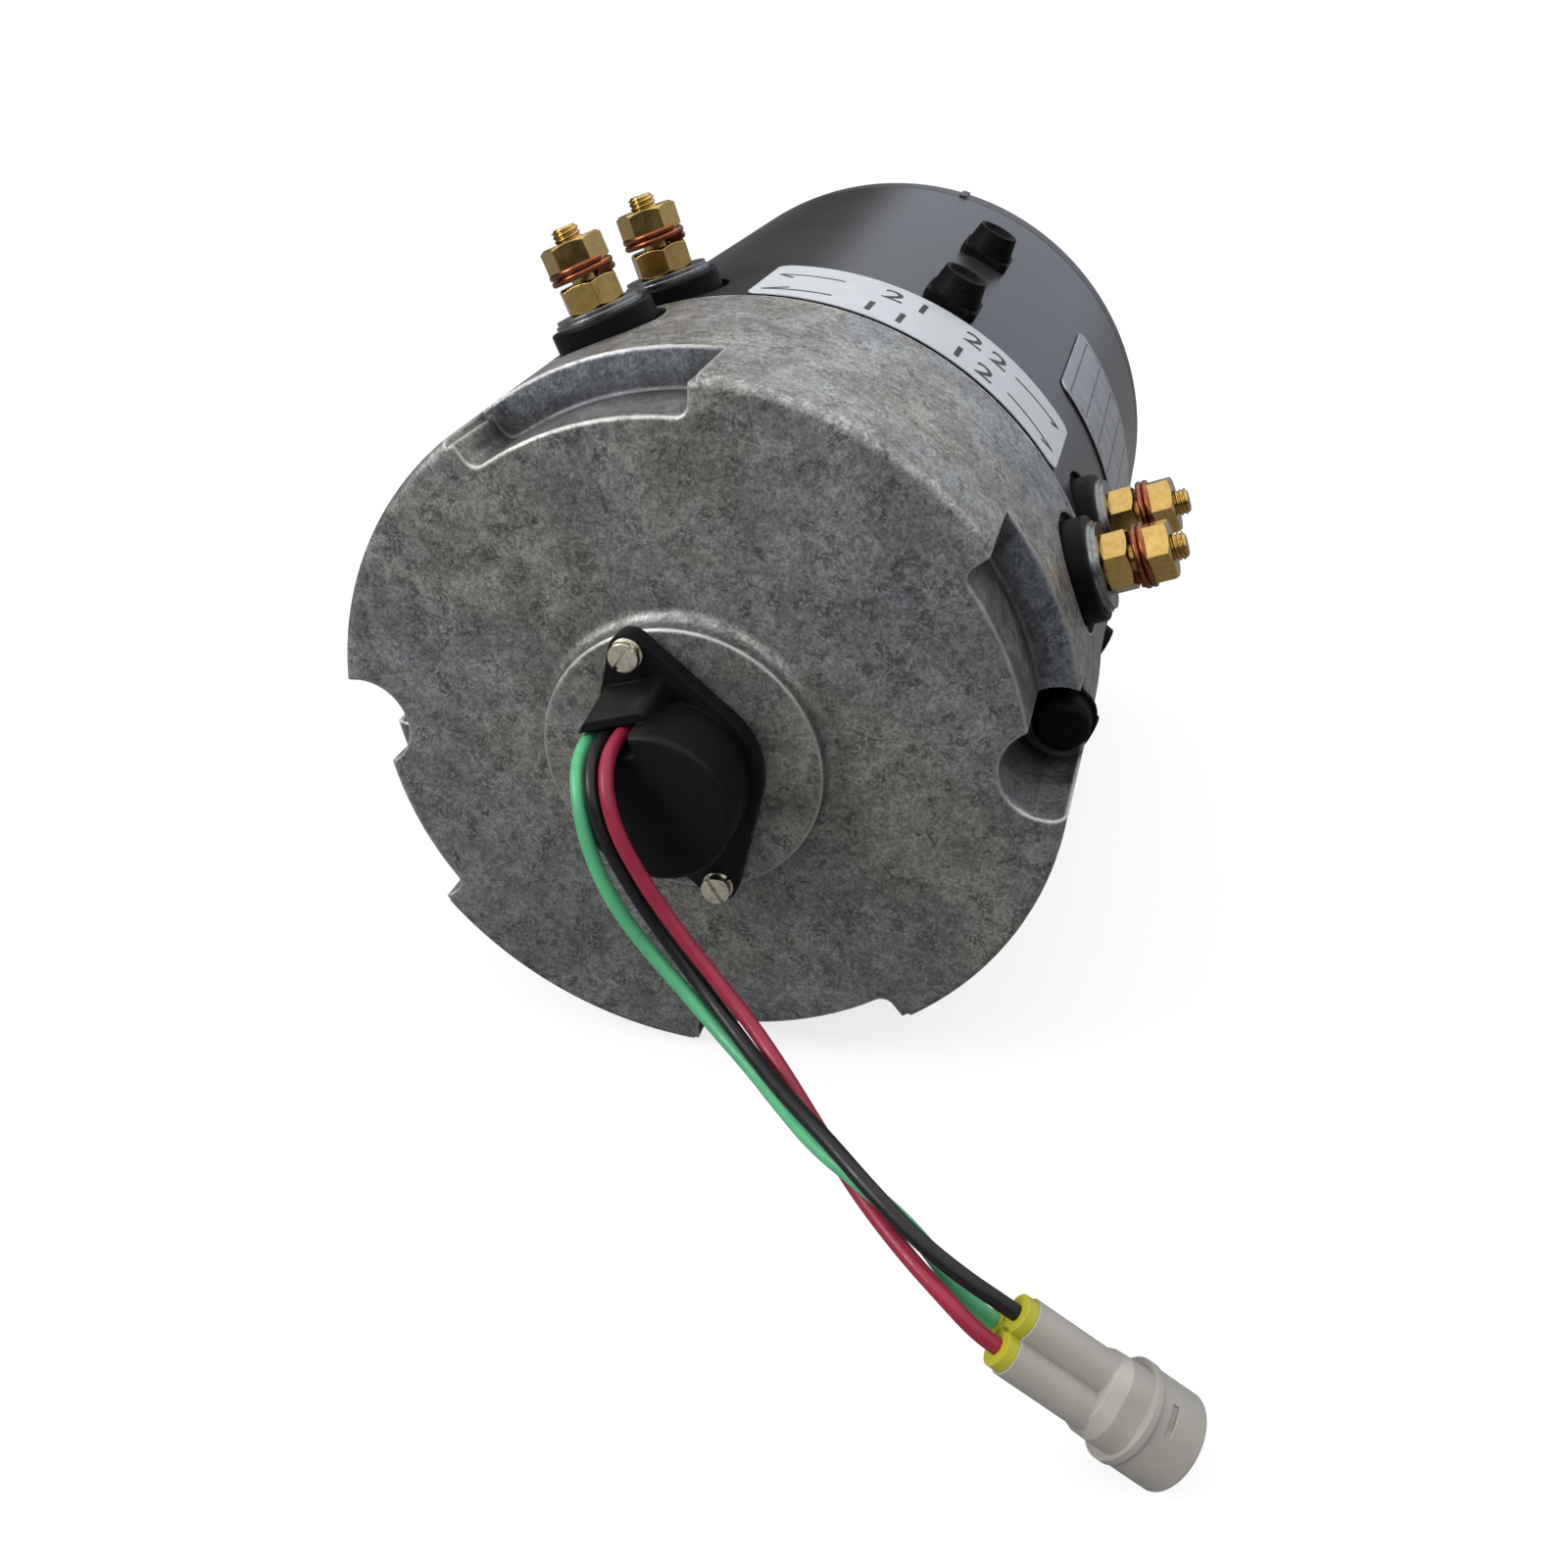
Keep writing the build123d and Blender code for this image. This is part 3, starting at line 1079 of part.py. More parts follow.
def build():
    parts = {
        "yoke_tube": make_yoke_tube(),
        "commutator_end_bell": make_commutator_end_bell(),
        "bell_screws": make_bell_screws(),
        "drive_end_head": make_drive_end_head(),
        "drive_head_screws": make_head_screws(),
        "pole_shoes": make_pole_shoes(),
        "field_coils": make_field_coils(),
        "pole_screws": make_pole_screws(),
        "pole_tab_washers": make_tab_washers(),
        "armature_shaft": make_armature_shaft(),
        "spline_bumper": make_spline_bumper(),
        "armature_core": make_armature_core(),
        "armature_winding": make_armature_winding(),
        "commutator_bars": make_commutator_bars(),
        "commutator_hub": make_commutator_hub(),
        "speed_magnet": make_speed_magnet(),
        "bearing_outer_ring": make_bearing_outer_ring(),
        "bearing_inner_ring": make_bearing_inner_ring(),
        "bearing_balls": make_bearing_balls(),
        "bearing_cage": make_bearing_cage(),
        "bearing_seals": make_bearing_seals(),
        "bearing_retainer": make_bearing_retainer(),
        "brush_plate": make_brush_plate(),
        "brush_plate_screws": make_brush_plate_screws(),
        "brush_boxes": make_brush_boxes(),
        "terminal_insulators": make_terminal_insulators(),
        "terminal_inner_insulators": make_inner_insulators(),
        "terminal_studs": make_terminal_studs(),
        "terminal_washers": make_terminal_washers(),
        "terminal_lower_nuts": make_lower_nuts(),
        "terminal_spring_washers": make_spring_washers(),
        "terminal_upper_nuts": make_upper_nuts(),
        "marking_label": make_marking_label(),
        "rating_plate": make_rating_plate(),
        "sensor_body": make_sensor_body(),
        "sensor_element": make_sensor_element(),
        "sensor_screws": make_sensor_screws(),
        "sensor_washers": make_sensor_washers(),
    }
    for number in range(BRUSHES):
        angle = 360.0 * number / BRUSHES
        parts[f"brush_{number + 1}"] = at_angle(angle, make_brush())
        parts[f"brush_spring_{number + 1}"] = at_angle(angle, make_brush_spring())
    parts = {name: as_compound(shape, placed) for name, shape in parts.items()}
    lead = {
        "connector_housing": make_connector_housing(),
        "connector_core": make_connector_core(),
        "connector_pins": make_connector_pins(),
        "connector_wire_seals": make_wire_seals(),
    }
    for colour in WIRE_ROUTES:
        lead["lead_" + colour] = make_wire(colour)
    parts.update({name: as_compound(shape, lambda piece: piece) for name, shape in lead.items()})
    return parts


def as_compound(shape, place):
    """One shape or a list of them, laid in place; several solids stay separate."""
    shapes = shape if isinstance(shape, list) else [shape]
    solids = []
    for piece in shapes:
        solids += place(piece).solids()
    return solids[0] if len(solids) == 1 else Compound(children=solids)


os.makedirs("parts", exist_ok=True)
for node, model in build().items():
    export_step(model, os.path.join("parts", node + ".step"))
    print(node, len(model.solids()), "solid(s)")
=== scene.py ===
# %% [markdown]
# # A golf cart drive motor
# The object is a heavy electric motor that lies on its side. A steel tube painted black holds the
# poles, a grey cast bell closes the end towards us, brass studs bring the current in, and a small
# sensor on the bell sends the speed through three thin wires to a white plug.
# Its pieces come ready made, each as one mesh at its real size in metres. This lesson gives them
# their finish and adds what the bare forms lack: print, threads, split washers, wires and light.

# %% Load the motor
import json
from math import cos, pi, radians, sin

import bmesh
import bpy
from mathutils import Matrix, Vector


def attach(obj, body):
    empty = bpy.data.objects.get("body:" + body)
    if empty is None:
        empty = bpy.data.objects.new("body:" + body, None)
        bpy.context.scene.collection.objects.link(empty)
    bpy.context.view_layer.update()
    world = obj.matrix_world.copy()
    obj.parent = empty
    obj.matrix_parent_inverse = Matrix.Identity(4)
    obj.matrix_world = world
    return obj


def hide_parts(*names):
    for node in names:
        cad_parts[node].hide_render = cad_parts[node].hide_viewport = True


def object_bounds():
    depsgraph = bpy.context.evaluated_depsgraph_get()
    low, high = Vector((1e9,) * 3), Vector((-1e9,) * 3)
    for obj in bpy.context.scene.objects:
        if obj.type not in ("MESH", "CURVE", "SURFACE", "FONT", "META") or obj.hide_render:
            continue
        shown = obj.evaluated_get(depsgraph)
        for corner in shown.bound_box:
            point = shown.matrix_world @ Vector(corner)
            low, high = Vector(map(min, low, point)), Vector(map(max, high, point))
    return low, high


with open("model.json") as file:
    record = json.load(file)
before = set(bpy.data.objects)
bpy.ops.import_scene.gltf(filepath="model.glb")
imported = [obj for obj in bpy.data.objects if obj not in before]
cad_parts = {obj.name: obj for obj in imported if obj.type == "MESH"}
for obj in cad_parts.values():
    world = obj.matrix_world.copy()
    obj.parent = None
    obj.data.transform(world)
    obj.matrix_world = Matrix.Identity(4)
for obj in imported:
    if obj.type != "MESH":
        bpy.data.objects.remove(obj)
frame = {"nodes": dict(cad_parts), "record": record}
nodes = frame["nodes"]
MM = 0.001
bare_box = [list(corner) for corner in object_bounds()]
print("pieces of the motor:", len(nodes), "box:", bare_box)

# %% [markdown]
# ## The viewpoint
# The photograph looks down on the bell from the right, from about half a metre, so near things
# look clearly larger than far ones. A camera that stands where the photographer stood and looks
# the same way gives the same picture without any cropping or shift.

# %% Camera
VIEW_FROM = Vector((0.0924, -0.5077, 0.1583))
VIEW_ALONG = Vector((-0.21974, 0.83181, -0.50971))
LENS = 33.25

camera = bpy.data.objects.new("camera", bpy.data.cameras.new("camera"))
bpy.context.scene.collection.objects.link(camera)
camera.location = VIEW_FROM
camera.rotation_euler = VIEW_ALONG.to_track_quat("-Z", "Y").to_euler()
camera.data.lens = LENS
camera.data.sensor_width = 36.0
camera.data.clip_start = 0.01
bpy.context.scene.camera = camera
print("camera at", tuple(camera.location), "lens", LENS)

# %% [markdown]
# ## The three wires
# Limp wires leave the slot in the sensor's cap, hang in smooth curves in front of the bell and end
# in the seals of the plug. They could be swept tubes, but a NURBS curve of order 3 is pulled
# towards a few points and never kinks, so each wire is one such curve with a round section.
# Blender pads a curve's box by the radius of its points, so that radius is kept at a millimetre
# and the bevel depth makes up for it.
# The points are in metres. The last two are worked out from the plug, so that each wire enters
# its seal straight.

# %% Points of the wires
WIRE_RADIUS = 1.6 * MM
WIRE_START_Y = -0.2555
WIRE_LAST_RUN = 4.3 * MM
PLUG_REAR = Vector((0.0858, -0.3312, -0.05585))
PLUG_ALONG = Vector((0.8207, 0.0300, -0.5705)).normalized()
PLUG_ACROSS = Vector((0.3777, 0.7207, 0.5813)).normalized()
PLUG_UP = PLUG_ALONG.cross(PLUG_ACROSS)
WIRE_SEATS = {"red": (-3.3, 2.2), "black": (3.3, 2.2), "green": (0.0, -3.5)}
WIRE_ROUTES = {
    "red": [
        (-0.0073, WIRE_START_Y, 0.0137),
        (-0.0082, -0.2653, 0.0142),
        (-0.0070, -0.2738, 0.0102),
        (-0.0037, -0.2780, 0.0014),
        (0.0024, -0.2790, -0.0098),
        (0.0097, -0.2800, -0.0201),
        (0.0187, -0.2830, -0.0286),
        (0.0284, -0.2885, -0.0349),
        (0.0378, -0.2967, -0.0397),
        (0.0470, -0.3062, -0.0434),
        (0.0566, -0.3167, -0.0459),
        (0.0670, -0.3267, -0.0474),
        (0.0756, -0.3326, -0.0500),
    ],
    "black": [
        (-0.0115, WIRE_START_Y, 0.0123),
        (-0.0120, -0.2654, 0.0129),
        (-0.0103, -0.2737, 0.0087),
        (-0.0067, -0.2775, -0.0005),
        (-0.0015, -0.2779, -0.0110),
        (0.0047, -0.2782, -0.0211),
        (0.0126, -0.2809, -0.0294),
        (0.0215, -0.2868, -0.0349),
        (0.0305, -0.2950, -0.0372),
        (0.0393, -0.3038, -0.0375),
        (0.0490, -0.3125, -0.0374),
        (0.0590, -0.3210, -0.0391),
        (0.0699, -0.3275, -0.0432),
        (0.0785, -0.3300, -0.0470),
    ],
    "green": [
        (-0.0161, WIRE_START_Y, 0.0107),
        (-0.0157, -0.2654, 0.0109),
        (-0.0131, -0.2738, 0.0063),
        (-0.0099, -0.2780, -0.0034),
        (-0.0053, -0.2793, -0.0145),
        (0.0015, -0.2799, -0.0244),
        (0.0102, -0.2820, -0.0324),
        (0.0196, -0.2869, -0.0380),
        (0.0291, -0.2939, -0.0406),
        (0.0377, -0.3022, -0.0415),
        (0.0466, -0.3110, -0.0415),
        (0.0571, -0.3179, -0.0417),
        (0.0684, -0.3236, -0.0449),
        (0.0756, -0.3275, -0.0509),
    ],
}


def in_plug(x, y, along):
    """A point given across, up and along the plug, the first two in millimetres."""
    return PLUG_REAR + PLUG_ACROSS * (x * MM) + PLUG_UP * (y * MM) + PLUG_ALONG * along


print("wires:", list(WIRE_ROUTES), "points in the red one:", len(WIRE_ROUTES["red"]) + 2)

# %% Draw the wires
WIRE_LENGTHS = {"red": 0.157, "black": 0.160, "green": 0.160}


def draw_wire(colour):
    """One wire as a round NURBS curve from the sensor to its seal in the plug."""
    x, y = WIRE_SEATS[colour]
    ends = [in_plug(x, y, -WIRE_LAST_RUN), in_plug(x, y, 0.0)]
    points = [Vector(point) for point in WIRE_ROUTES[colour]] + ends
    curve = bpy.data.curves.new("wire_" + colour, "CURVE")
    curve.dimensions = "3D"
    curve.bevel_depth = WIRE_RADIUS / MM
    curve.bevel_resolution = 7
    curve.resolution_u = 12
    curve.use_fill_caps = True
    line = curve.splines.new("NURBS")
    line.points.add(len(points) - 1)
    for place, point in zip(points, line.points):
        point.co = (*place, 1.0)
        point.radius = MM
    line.order_u = 3
    line.use_endpoint_u = True
    wire = bpy.data.objects.new("wire_" + colour, curve)
    bpy.context.scene.collection.objects.link(wire)
    return wire, points[0]


wires = {}
for colour, length in WIRE_LENGTHS.items():
    wire, start = draw_wire(colour)
    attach(wire, "motor_frame")
    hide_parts("lead_" + colour)
    wires[colour] = wire
print("wires drawn:", sorted(wires))

# %% [markdown]
# ## Where the new pieces sit
# The motor's own frame has its axis along Y and its drive face at zero. Print lies on the yoke, so
# it is easiest to place by an angle round the axis, clockwise from the middle of the label, and a
# depth behind the face of the bell. The four terminals are given by the motor's record: each has
# a point near the tip of its stud and a direction.

# %% Places on the yoke and at the terminals
BODY_LENGTH = 241.5 * MM
LABEL_TURN = 25.9
PIN_ABOVE_FLAT = 25.35 * MM


def on_yoke(turn, depth, radius):
    """A point at an angle in degrees from the label's middle, and a depth behind the bell face."""
    angle = radians(turn + LABEL_TURN)
    return Vector((radius * sin(angle), depth - BODY_LENGTH, radius * cos(angle)))


def terminal_frame(mount):
    """A matrix whose Z runs out along the stud, with its origin at the foot of the insulator."""
    out = Vector(mount["axis"]).normalized()
    side = Vector((0.0, 1.0, 0.0)).cross(out).normalized()
    ahead = out.cross(side)
    foot = Vector(mount["pos_m"]) - out * PIN_ABOVE_FLAT
    turned = Matrix((side, ahead, out)).transposed().to_4x4()
    return Matrix.Translation(foot) @ turned


terminals = [terminal_frame(mount) for mount in frame["record"]["mounts"]
             if mount["name"].startswith("terminal_")]
for place in terminals:
    print("foot of a terminal, mm:", [round(value / MM, 1) for value in place.translation])

# %% [markdown]
# ## Small tools for modelling
# Each new piece starts as a primitive, is shaped in edit mode, and ends with its place in its
# mesh, like the motor's own pieces. Three small helpers keep that short: one deselects all and
# makes a piece active, one applies its modifiers, and one moves its mesh to where it belongs.

# %% Helpers for modelling
def only(piece):
    """Select and activate one piece alone."""
    bpy.ops.object.select_all(action="DESELECT")
    piece.select_set(True)
    bpy.context.view_layer.objects.active = piece
    return piece


def apply_modifiers(piece):
    only(piece)
    for modifier in list(piece.modifiers):
        bpy.ops.object.modifier_apply(modifier=modifier.name)


def settle(piece, place):
    """Put a piece's place into its mesh, which is closed, points outwards and is smooth."""
    piece.data.transform(place @ piece.matrix_basis)
    piece.matrix_basis = Matrix.Identity(4)
    only(piece)
    bpy.ops.object.mode_set(mode="EDIT")
    bpy.ops.mesh.select_all(action="SELECT")
    bpy.ops.mesh.remove_doubles(threshold=0.000001)
    bpy.ops.mesh.normals_make_consistent(inside=False)
    bpy.ops.object.mode_set(mode="OBJECT")
    bpy.ops.object.shade_smooth_by_angle(angle=radians(35))
    return piece


def hand_over(piece, slot, *replaced):
    """The piece rides on the motor's frame and hides the pieces it replaces; the slot is not used."""
    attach(piece, "motor_frame")
    if replaced:
        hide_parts(*replaced)
    return piece


print("helpers ready")

# %% [markdown]
# ## Threaded studs
# The terminals are long brass studs. Inside the motor they have a hexagon head, and outside the
# upper nut a few turns of thread show. A thread could be faked with a bump, but its ridges show
# against the white background. So a small saw-tooth profile is turned and lifted by a Screw
# modifier, as a die cuts it, and both ends of the ridge are cut off flat. The head is a bevelled
# hexagonal prism joined to a cylinder, and a short cone makes the chamfered tip.

# %% Studs with their threads
THREAD_R = 3.15 * MM
THREAD_ROOT_R = 2.72 * MM
THREAD_PITCH = 1.0 * MM
THREAD_TOP = 26.1 * MM
THREAD_LOW = 20.0 * MM
HEAD_HEIGHT = 5.0 * MM
HEAD_TOPS = {"front": -7.06 * MM, "rear": -9.78 * MM}
REAR_FROM = -0.175
HEAD_R = 6.9 * MM
HEAD_ROUNDING = 0.4 * MM
TIP_HEIGHT = 0.45 * MM
TIP_TAPER = 0.86
TIP_ROUNDING = 0.1 * MM
THREAD_SHIFT = 1.013


def thread_ridge():
    """A helical ridge between two heights, cut flat at both ends."""
    bpy.ops.object.select_all(action="DESELECT")
    bpy.ops.mesh.primitive_plane_add(size=THREAD_PITCH)
    ridge = bpy.context.active_object
    bpy.ops.object.mode_set(mode="EDIT")
    mesh = bmesh.from_edit_mesh(ridge.data)
    mesh.clear()
    tooth = [(THREAD_ROOT_R, 0.0), (THREAD_R, THREAD_PITCH * 0.42), (THREAD_R, THREAD_PITCH * 0.55),
             (THREAD_ROOT_R, THREAD_PITCH * 0.97), (THREAD_ROOT_R, THREAD_PITCH)]
    corners = [mesh.verts.new((x, 0.0, z)) for x, z in tooth]
    for first, second in zip(corners, corners[1:]):
        mesh.edges.new((first, second))
    bmesh.update_edit_mesh(ridge.data)
    bpy.ops.object.mode_set(mode="OBJECT")
    turn = ridge.modifiers.new("turn", "SCREW")
    turn.axis = "Z"
    turn.screw_offset = THREAD_PITCH
    turn.iterations = int((THREAD_TOP - THREAD_LOW) / THREAD_PITCH) + 3
    turn.steps = 40
    turn.render_steps = 40
    apply_modifiers(ridge)
    ridge.data.transform(Matrix.Translation((0, 0, THREAD_LOW - THREAD_SHIFT * THREAD_PITCH)))
    bpy.ops.object.mode_set(mode="EDIT")
    bpy.ops.mesh.select_all(action="SELECT")
    bpy.ops.mesh.remove_doubles(threshold=0.000001)
    for height, above in ((THREAD_TOP, True), (THREAD_LOW, False)):
        bpy.ops.mesh.select_all(action="SELECT")
        bpy.ops.mesh.bisect(plane_co=(0, 0, height), plane_no=(0, 0, 1), use_fill=True,
                            clear_outer=above, clear_inner=not above, threshold=0.0000001)
    bpy.ops.object.mode_set(mode="OBJECT")
    return ridge


def stud_shank(head_top):
    """Hexagon head and smooth shank of a stud, up to where its thread starts."""
    bpy.ops.object.select_all(action="DESELECT")
    bpy.ops.mesh.primitive_cylinder_add(vertices=6, radius=HEAD_R, depth=HEAD_HEIGHT,
                                        location=(0, 0, head_top - HEAD_HEIGHT / 2))
    head = bpy.context.active_object
    rounding = head.modifiers.new("soften", "BEVEL")
    rounding.width = HEAD_ROUNDING
    rounding.segments = 2
    apply_modifiers(head)
    bpy.ops.mesh.primitive_cylinder_add(vertices=48, radius=THREAD_R, depth=THREAD_LOW - head_top,
                                        location=(0, 0, (THREAD_LOW + head_top) / 2))
    shank = bpy.context.active_object
    head.select_set(True)
    bpy.ops.object.join()
    bpy.ops.object.transform_apply()
    return shank


def stud_tip():
    """The chamfered end above the thread."""
    bpy.ops.object.select_all(action="DESELECT")
    bpy.ops.mesh.primitive_cone_add(vertices=48, radius1=THREAD_ROOT_R, radius2=THREAD_ROOT_R * TIP_TAPER,
                                    depth=TIP_HEIGHT, location=(0, 0, THREAD_TOP + TIP_HEIGHT / 2))
    tip = bpy.context.active_object
    rounding = tip.modifiers.new("soften", "BEVEL")
    rounding.width = TIP_ROUNDING
    rounding.segments = 2
    apply_modifiers(tip)
    return tip


def join(*pieces):
    only(pieces[0])
    for piece in pieces[1:]:
        piece.select_set(True)
    bpy.ops.object.join()
    return pieces[0]


studs = []
for count, place in enumerate(terminals, 1):
    row = "rear" if place.translation.y > REAR_FROM else "front"
    stud = join(stud_shank(HEAD_TOPS[row]), thread_ridge(), stud_tip())
    stud.name = f"threaded_stud_{count}"
    settle(stud, place)
    studs.append(hand_over(stud, "brass", "terminal_studs"))
print("studs:", [(stud.name, len(stud.data.polygons)) for stud in studs])

# %% [markdown]
# ## Split washers
# Between the two nuts of each terminal lies a double split washer of copper colour. It is a flat
# bar wound into a short spring, so it is modelled as one: a plane is stretched to the bar's section,
# rounded at its corners and swept by a Screw modifier for nearly two turns, and its ends are closed.

# %% Split washers
SPRING_LOW = 14.5 * MM
SPRING_THICK = 1.42 * MM
SPRING_OUTER_R = 7.5 * MM
SPRING_INNER_R = 3.4 * MM
SPRING_PITCH = 1.46 * MM
SPRING_TURNS = 1.94
SPRING_CORNER = 0.64 * MM


def split_washer():
    bpy.ops.object.select_all(action="DESELECT")
    bpy.ops.mesh.primitive_plane_add(size=1.0)
    washer = bpy.context.active_object
    middle = (SPRING_OUTER_R + SPRING_INNER_R) / 2
    wide = SPRING_OUTER_R - SPRING_INNER_R
    section = Matrix(((wide, 0, 0, middle), (0, 0, 1, 0), (0, SPRING_THICK, 0, 0), (0, 0, 0, 1)))
    washer.data.transform(section)
    bpy.ops.object.mode_set(mode="EDIT")
    bpy.ops.mesh.select_all(action="SELECT")
    bpy.ops.mesh.bevel(offset=SPRING_CORNER, segments=5, affect="VERTICES")
    bpy.ops.object.mode_set(mode="OBJECT")
    turn = washer.modifiers.new("turn", "SCREW")
    turn.axis = "Z"
    turn.angle = 2 * pi * SPRING_TURNS
    turn.screw_offset = SPRING_PITCH * SPRING_TURNS
    turn.steps = 96
    turn.render_steps = 96
    apply_modifiers(washer)
    washer.data.transform(Matrix.Translation((0, 0, SPRING_LOW + SPRING_THICK / 2)))
    bpy.ops.object.mode_set(mode="EDIT")
    bpy.ops.mesh.select_all(action="DESELECT")
    bpy.ops.mesh.select_non_manifold()
    bpy.ops.mesh.fill_holes(sides=0)
    bpy.ops.object.mode_set(mode="OBJECT")
    return washer


split_washers = []
for count, place in enumerate(terminals, 1):
    washer = split_washer()
    washer.name = f"split_washer_{count}"
    settle(washer, place)
    split_washers.append(hand_over(washer, "copper", "terminal_spring_washers"))
print("split washers:", [piece.name for piece in split_washers])

# %% [markdown]
# ## Sensor case
# The sensor is a moulded cap on a flange with two ears, and a block at its side where the wires
# come out of a slot. A flange with straight flanks is what a rubber band round three discs gives,
# so it is the convex hull of three short cylinders. The block is the hull of posts that stand at
# its corners. Cap, flange and block are then fused, and the slot, the cavity over the magnet and
# the screw holes are cut out, as a moulder would core them.

# %% Tools for the sensor
SENSOR_TURN = -44.5
BOSS_Y = -246.7 * MM


def rod(radius, low, high, x=0.0, y=0.0, sides=64):
    """A cylinder between two heights, in millimetres."""
    bpy.ops.object.select_all(action="DESELECT")
    bpy.ops.mesh.primitive_cylinder_add(vertices=sides, radius=radius * MM, depth=(high - low) * MM,
                                        location=(x * MM, y * MM, (low + high) / 2 * MM))
    bpy.ops.object.transform_apply()
    return bpy.context.active_object


def block(first, last, turn=0.0, place=(0.0, 0.0)):
    """A box between two corners in millimetres, turned in degrees and moved to its place."""
    size = Vector(last) - Vector(first)
    bpy.ops.object.select_all(action="DESELECT")
    bpy.ops.mesh.primitive_cube_add(size=MM)
    box = bpy.context.active_object
    box.data.transform(Matrix.Diagonal((*size, 1.0)))
    box.data.transform(Matrix.Translation((Vector(last) + Vector(first)) / 2 * MM))
    box.data.transform(Matrix.Rotation(radians(turn), 4, "Z"))
    box.data.transform(Matrix.Translation((place[0] * MM, place[1] * MM, 0)))
    return box


def hull(*pieces):
    """The convex solid round some pieces."""
    piece = join(*pieces)
    bpy.ops.object.mode_set(mode="EDIT")
    bpy.ops.mesh.select_all(action="SELECT")
    bpy.ops.mesh.convex_hull()
    bpy.ops.object.mode_set(mode="OBJECT")
    return piece


def combine(piece, tool, operation="DIFFERENCE"):
    """Cut a tool out of a piece, or fuse it on."""
    step = piece.modifiers.new("step", "BOOLEAN")
    step.object = tool
    step.operation = operation
    apply_modifiers(piece)
    bpy.data.objects.remove(tool)
    return piece


def soften(piece, width, segments=2):
    """Round the edges that are sharper than 40 degrees."""
    step = piece.modifiers.new("soften", "BEVEL")
    step.width = width * MM
    step.segments = segments
    step.limit_method = "ANGLE"
    step.angle_limit = radians(40)
    apply_modifiers(piece)
    return piece


sensor_angle = radians(SENSOR_TURN + LABEL_TURN)
across = Vector((cos(sensor_angle), 0, -sin(sensor_angle)))
upward = Vector((-across.z, 0, across.x))
outward = Vector((0, -1, 0))
sensor_turned = Matrix((across, upward, outward)).transposed().to_4x4()
sensor_place = Matrix.Translation((0, BOSS_Y, 0)) @ sensor_turned
print("the sensor's upper ear points to", [round(value, 3) for value in upward])

# %% Sensor case
SENSOR_R = 19.4
SENSOR_FLANGE = 4.2
EAR_R = 4.3
SENSOR_SCREW_OUT = 29.2
CAP_R = 17.5
CAP_HEIGHT = 20.5
BLOCK_HEIGHT = 14.5
BLOCK_TOP = [(-13.4, 9.0), (-11.2, 16.2), (-9.4, 18.0), (1.6, 18.0), (2.4, 9.0)]
BLOCK_FOOT = [(-13.8, 9.0), (-11.0, 16.6), (-7.2, 21.0), (4.0, 20.6), (5.0, 9.0)]
POST_R = 1.8
WIRE_SLOT = ((-18.0, 12.9, 7.6), (1.4, 17.6, 24.0))
MAGNET_HOLLOW_R = 17.0
MAGNET_HOLLOW_TOP = 6.05
SCREW_HOLE_R = 2.15

ears = [rod(EAR_R, 0, SENSOR_FLANGE, 0, side * SENSOR_SCREW_OUT, 32) for side in (1, -1)]
case = soften(hull(rod(SENSOR_R, 0, SENSOR_FLANGE), *ears), 0.4)
posts = [rod(POST_R, 1.0, BLOCK_HEIGHT, x, y, 16) for x, y in BLOCK_TOP]
posts += [rod(POST_R, 1.0, SENSOR_FLANGE + 0.4, x, y, 16) for x, y in BLOCK_FOOT]
combine(case, soften(hull(*posts), 0.5), "UNION")
cap = soften(rod(CAP_R, 1.0, CAP_HEIGHT, sides=96), 1.6, 5)
combine(case, cap, "UNION")
combine(case, block(*WIRE_SLOT))
combine(case, rod(MAGNET_HOLLOW_R, -1.0, MAGNET_HOLLOW_TOP))
for side in (1, -1):
    combine(case, rod(SCREW_HOLE_R, -1.0, 8.0, 0, side * SENSOR_SCREW_OUT, 32))
case.name = "sensor_case"
settle(case, sensor_place)
hand_over(case, "black_plastic", "sensor_body")
print("sensor case faces:", len(case.data.polygons))

# %% [markdown]
# ## Sensor screws
# Two nickel-plated screws with slotted cheese heads hold the sensor, each on a spring washer. The
# head is a cylinder with a slot cut across it, softened, and stands on its shank.

# %% Sensor screws and their washers
SCREW_HEAD_R = 3.3
SCREW_HEAD = 2.2
SCREW_SLOT = 0.9
SCREW_SLOT_DEPTH = 1.1
SLOT_TURNS = {"upper": (1, 36.0), "lower": (-1, -75.0)}
LOCK_WASHER_R = 3.55
LOCK_WASHER = 0.8

sensor_fixings = []
for name, (side, turn) in SLOT_TURNS.items():
    y = side * SENSOR_SCREW_OUT
    low = SENSOR_FLANGE + LOCK_WASHER
    high = low + SCREW_HEAD
    screw = rod(SCREW_HEAD_R, low, high, 0, y, 48)
    slot_half = SCREW_SLOT / 2
    tool = block((-5, -slot_half, high - SCREW_SLOT_DEPTH), (5, slot_half, high + 1), turn, (0, y))
    soften(combine(screw, tool), 0.18)
    combine(screw, rod(1.9, -6.8, low + 0.3, 0, y, 32), "UNION")
    screw.name = f"slotted_screw_{name}"
    sensor_fixings.append(hand_over(settle(screw, sensor_place), "nickel_steel", "sensor_screws"))
    washer = combine(rod(LOCK_WASHER_R, SENSOR_FLANGE, low, 0, y, 48), rod(2.1, 0, 9, 0, y, 32))
    combine(washer, block((1.5, -0.35, 0), (5, 0.35, 9), turn + 100, (0, y)))
    soften(washer, 0.15)
    washer.name = f"lock_washer_{name}"
    sensor_fixings.append(hand_over(settle(washer, sensor_place), "nickel_steel", "sensor_washers"))
print("sensor fixings:", [piece.name for piece in sensor_fixings])

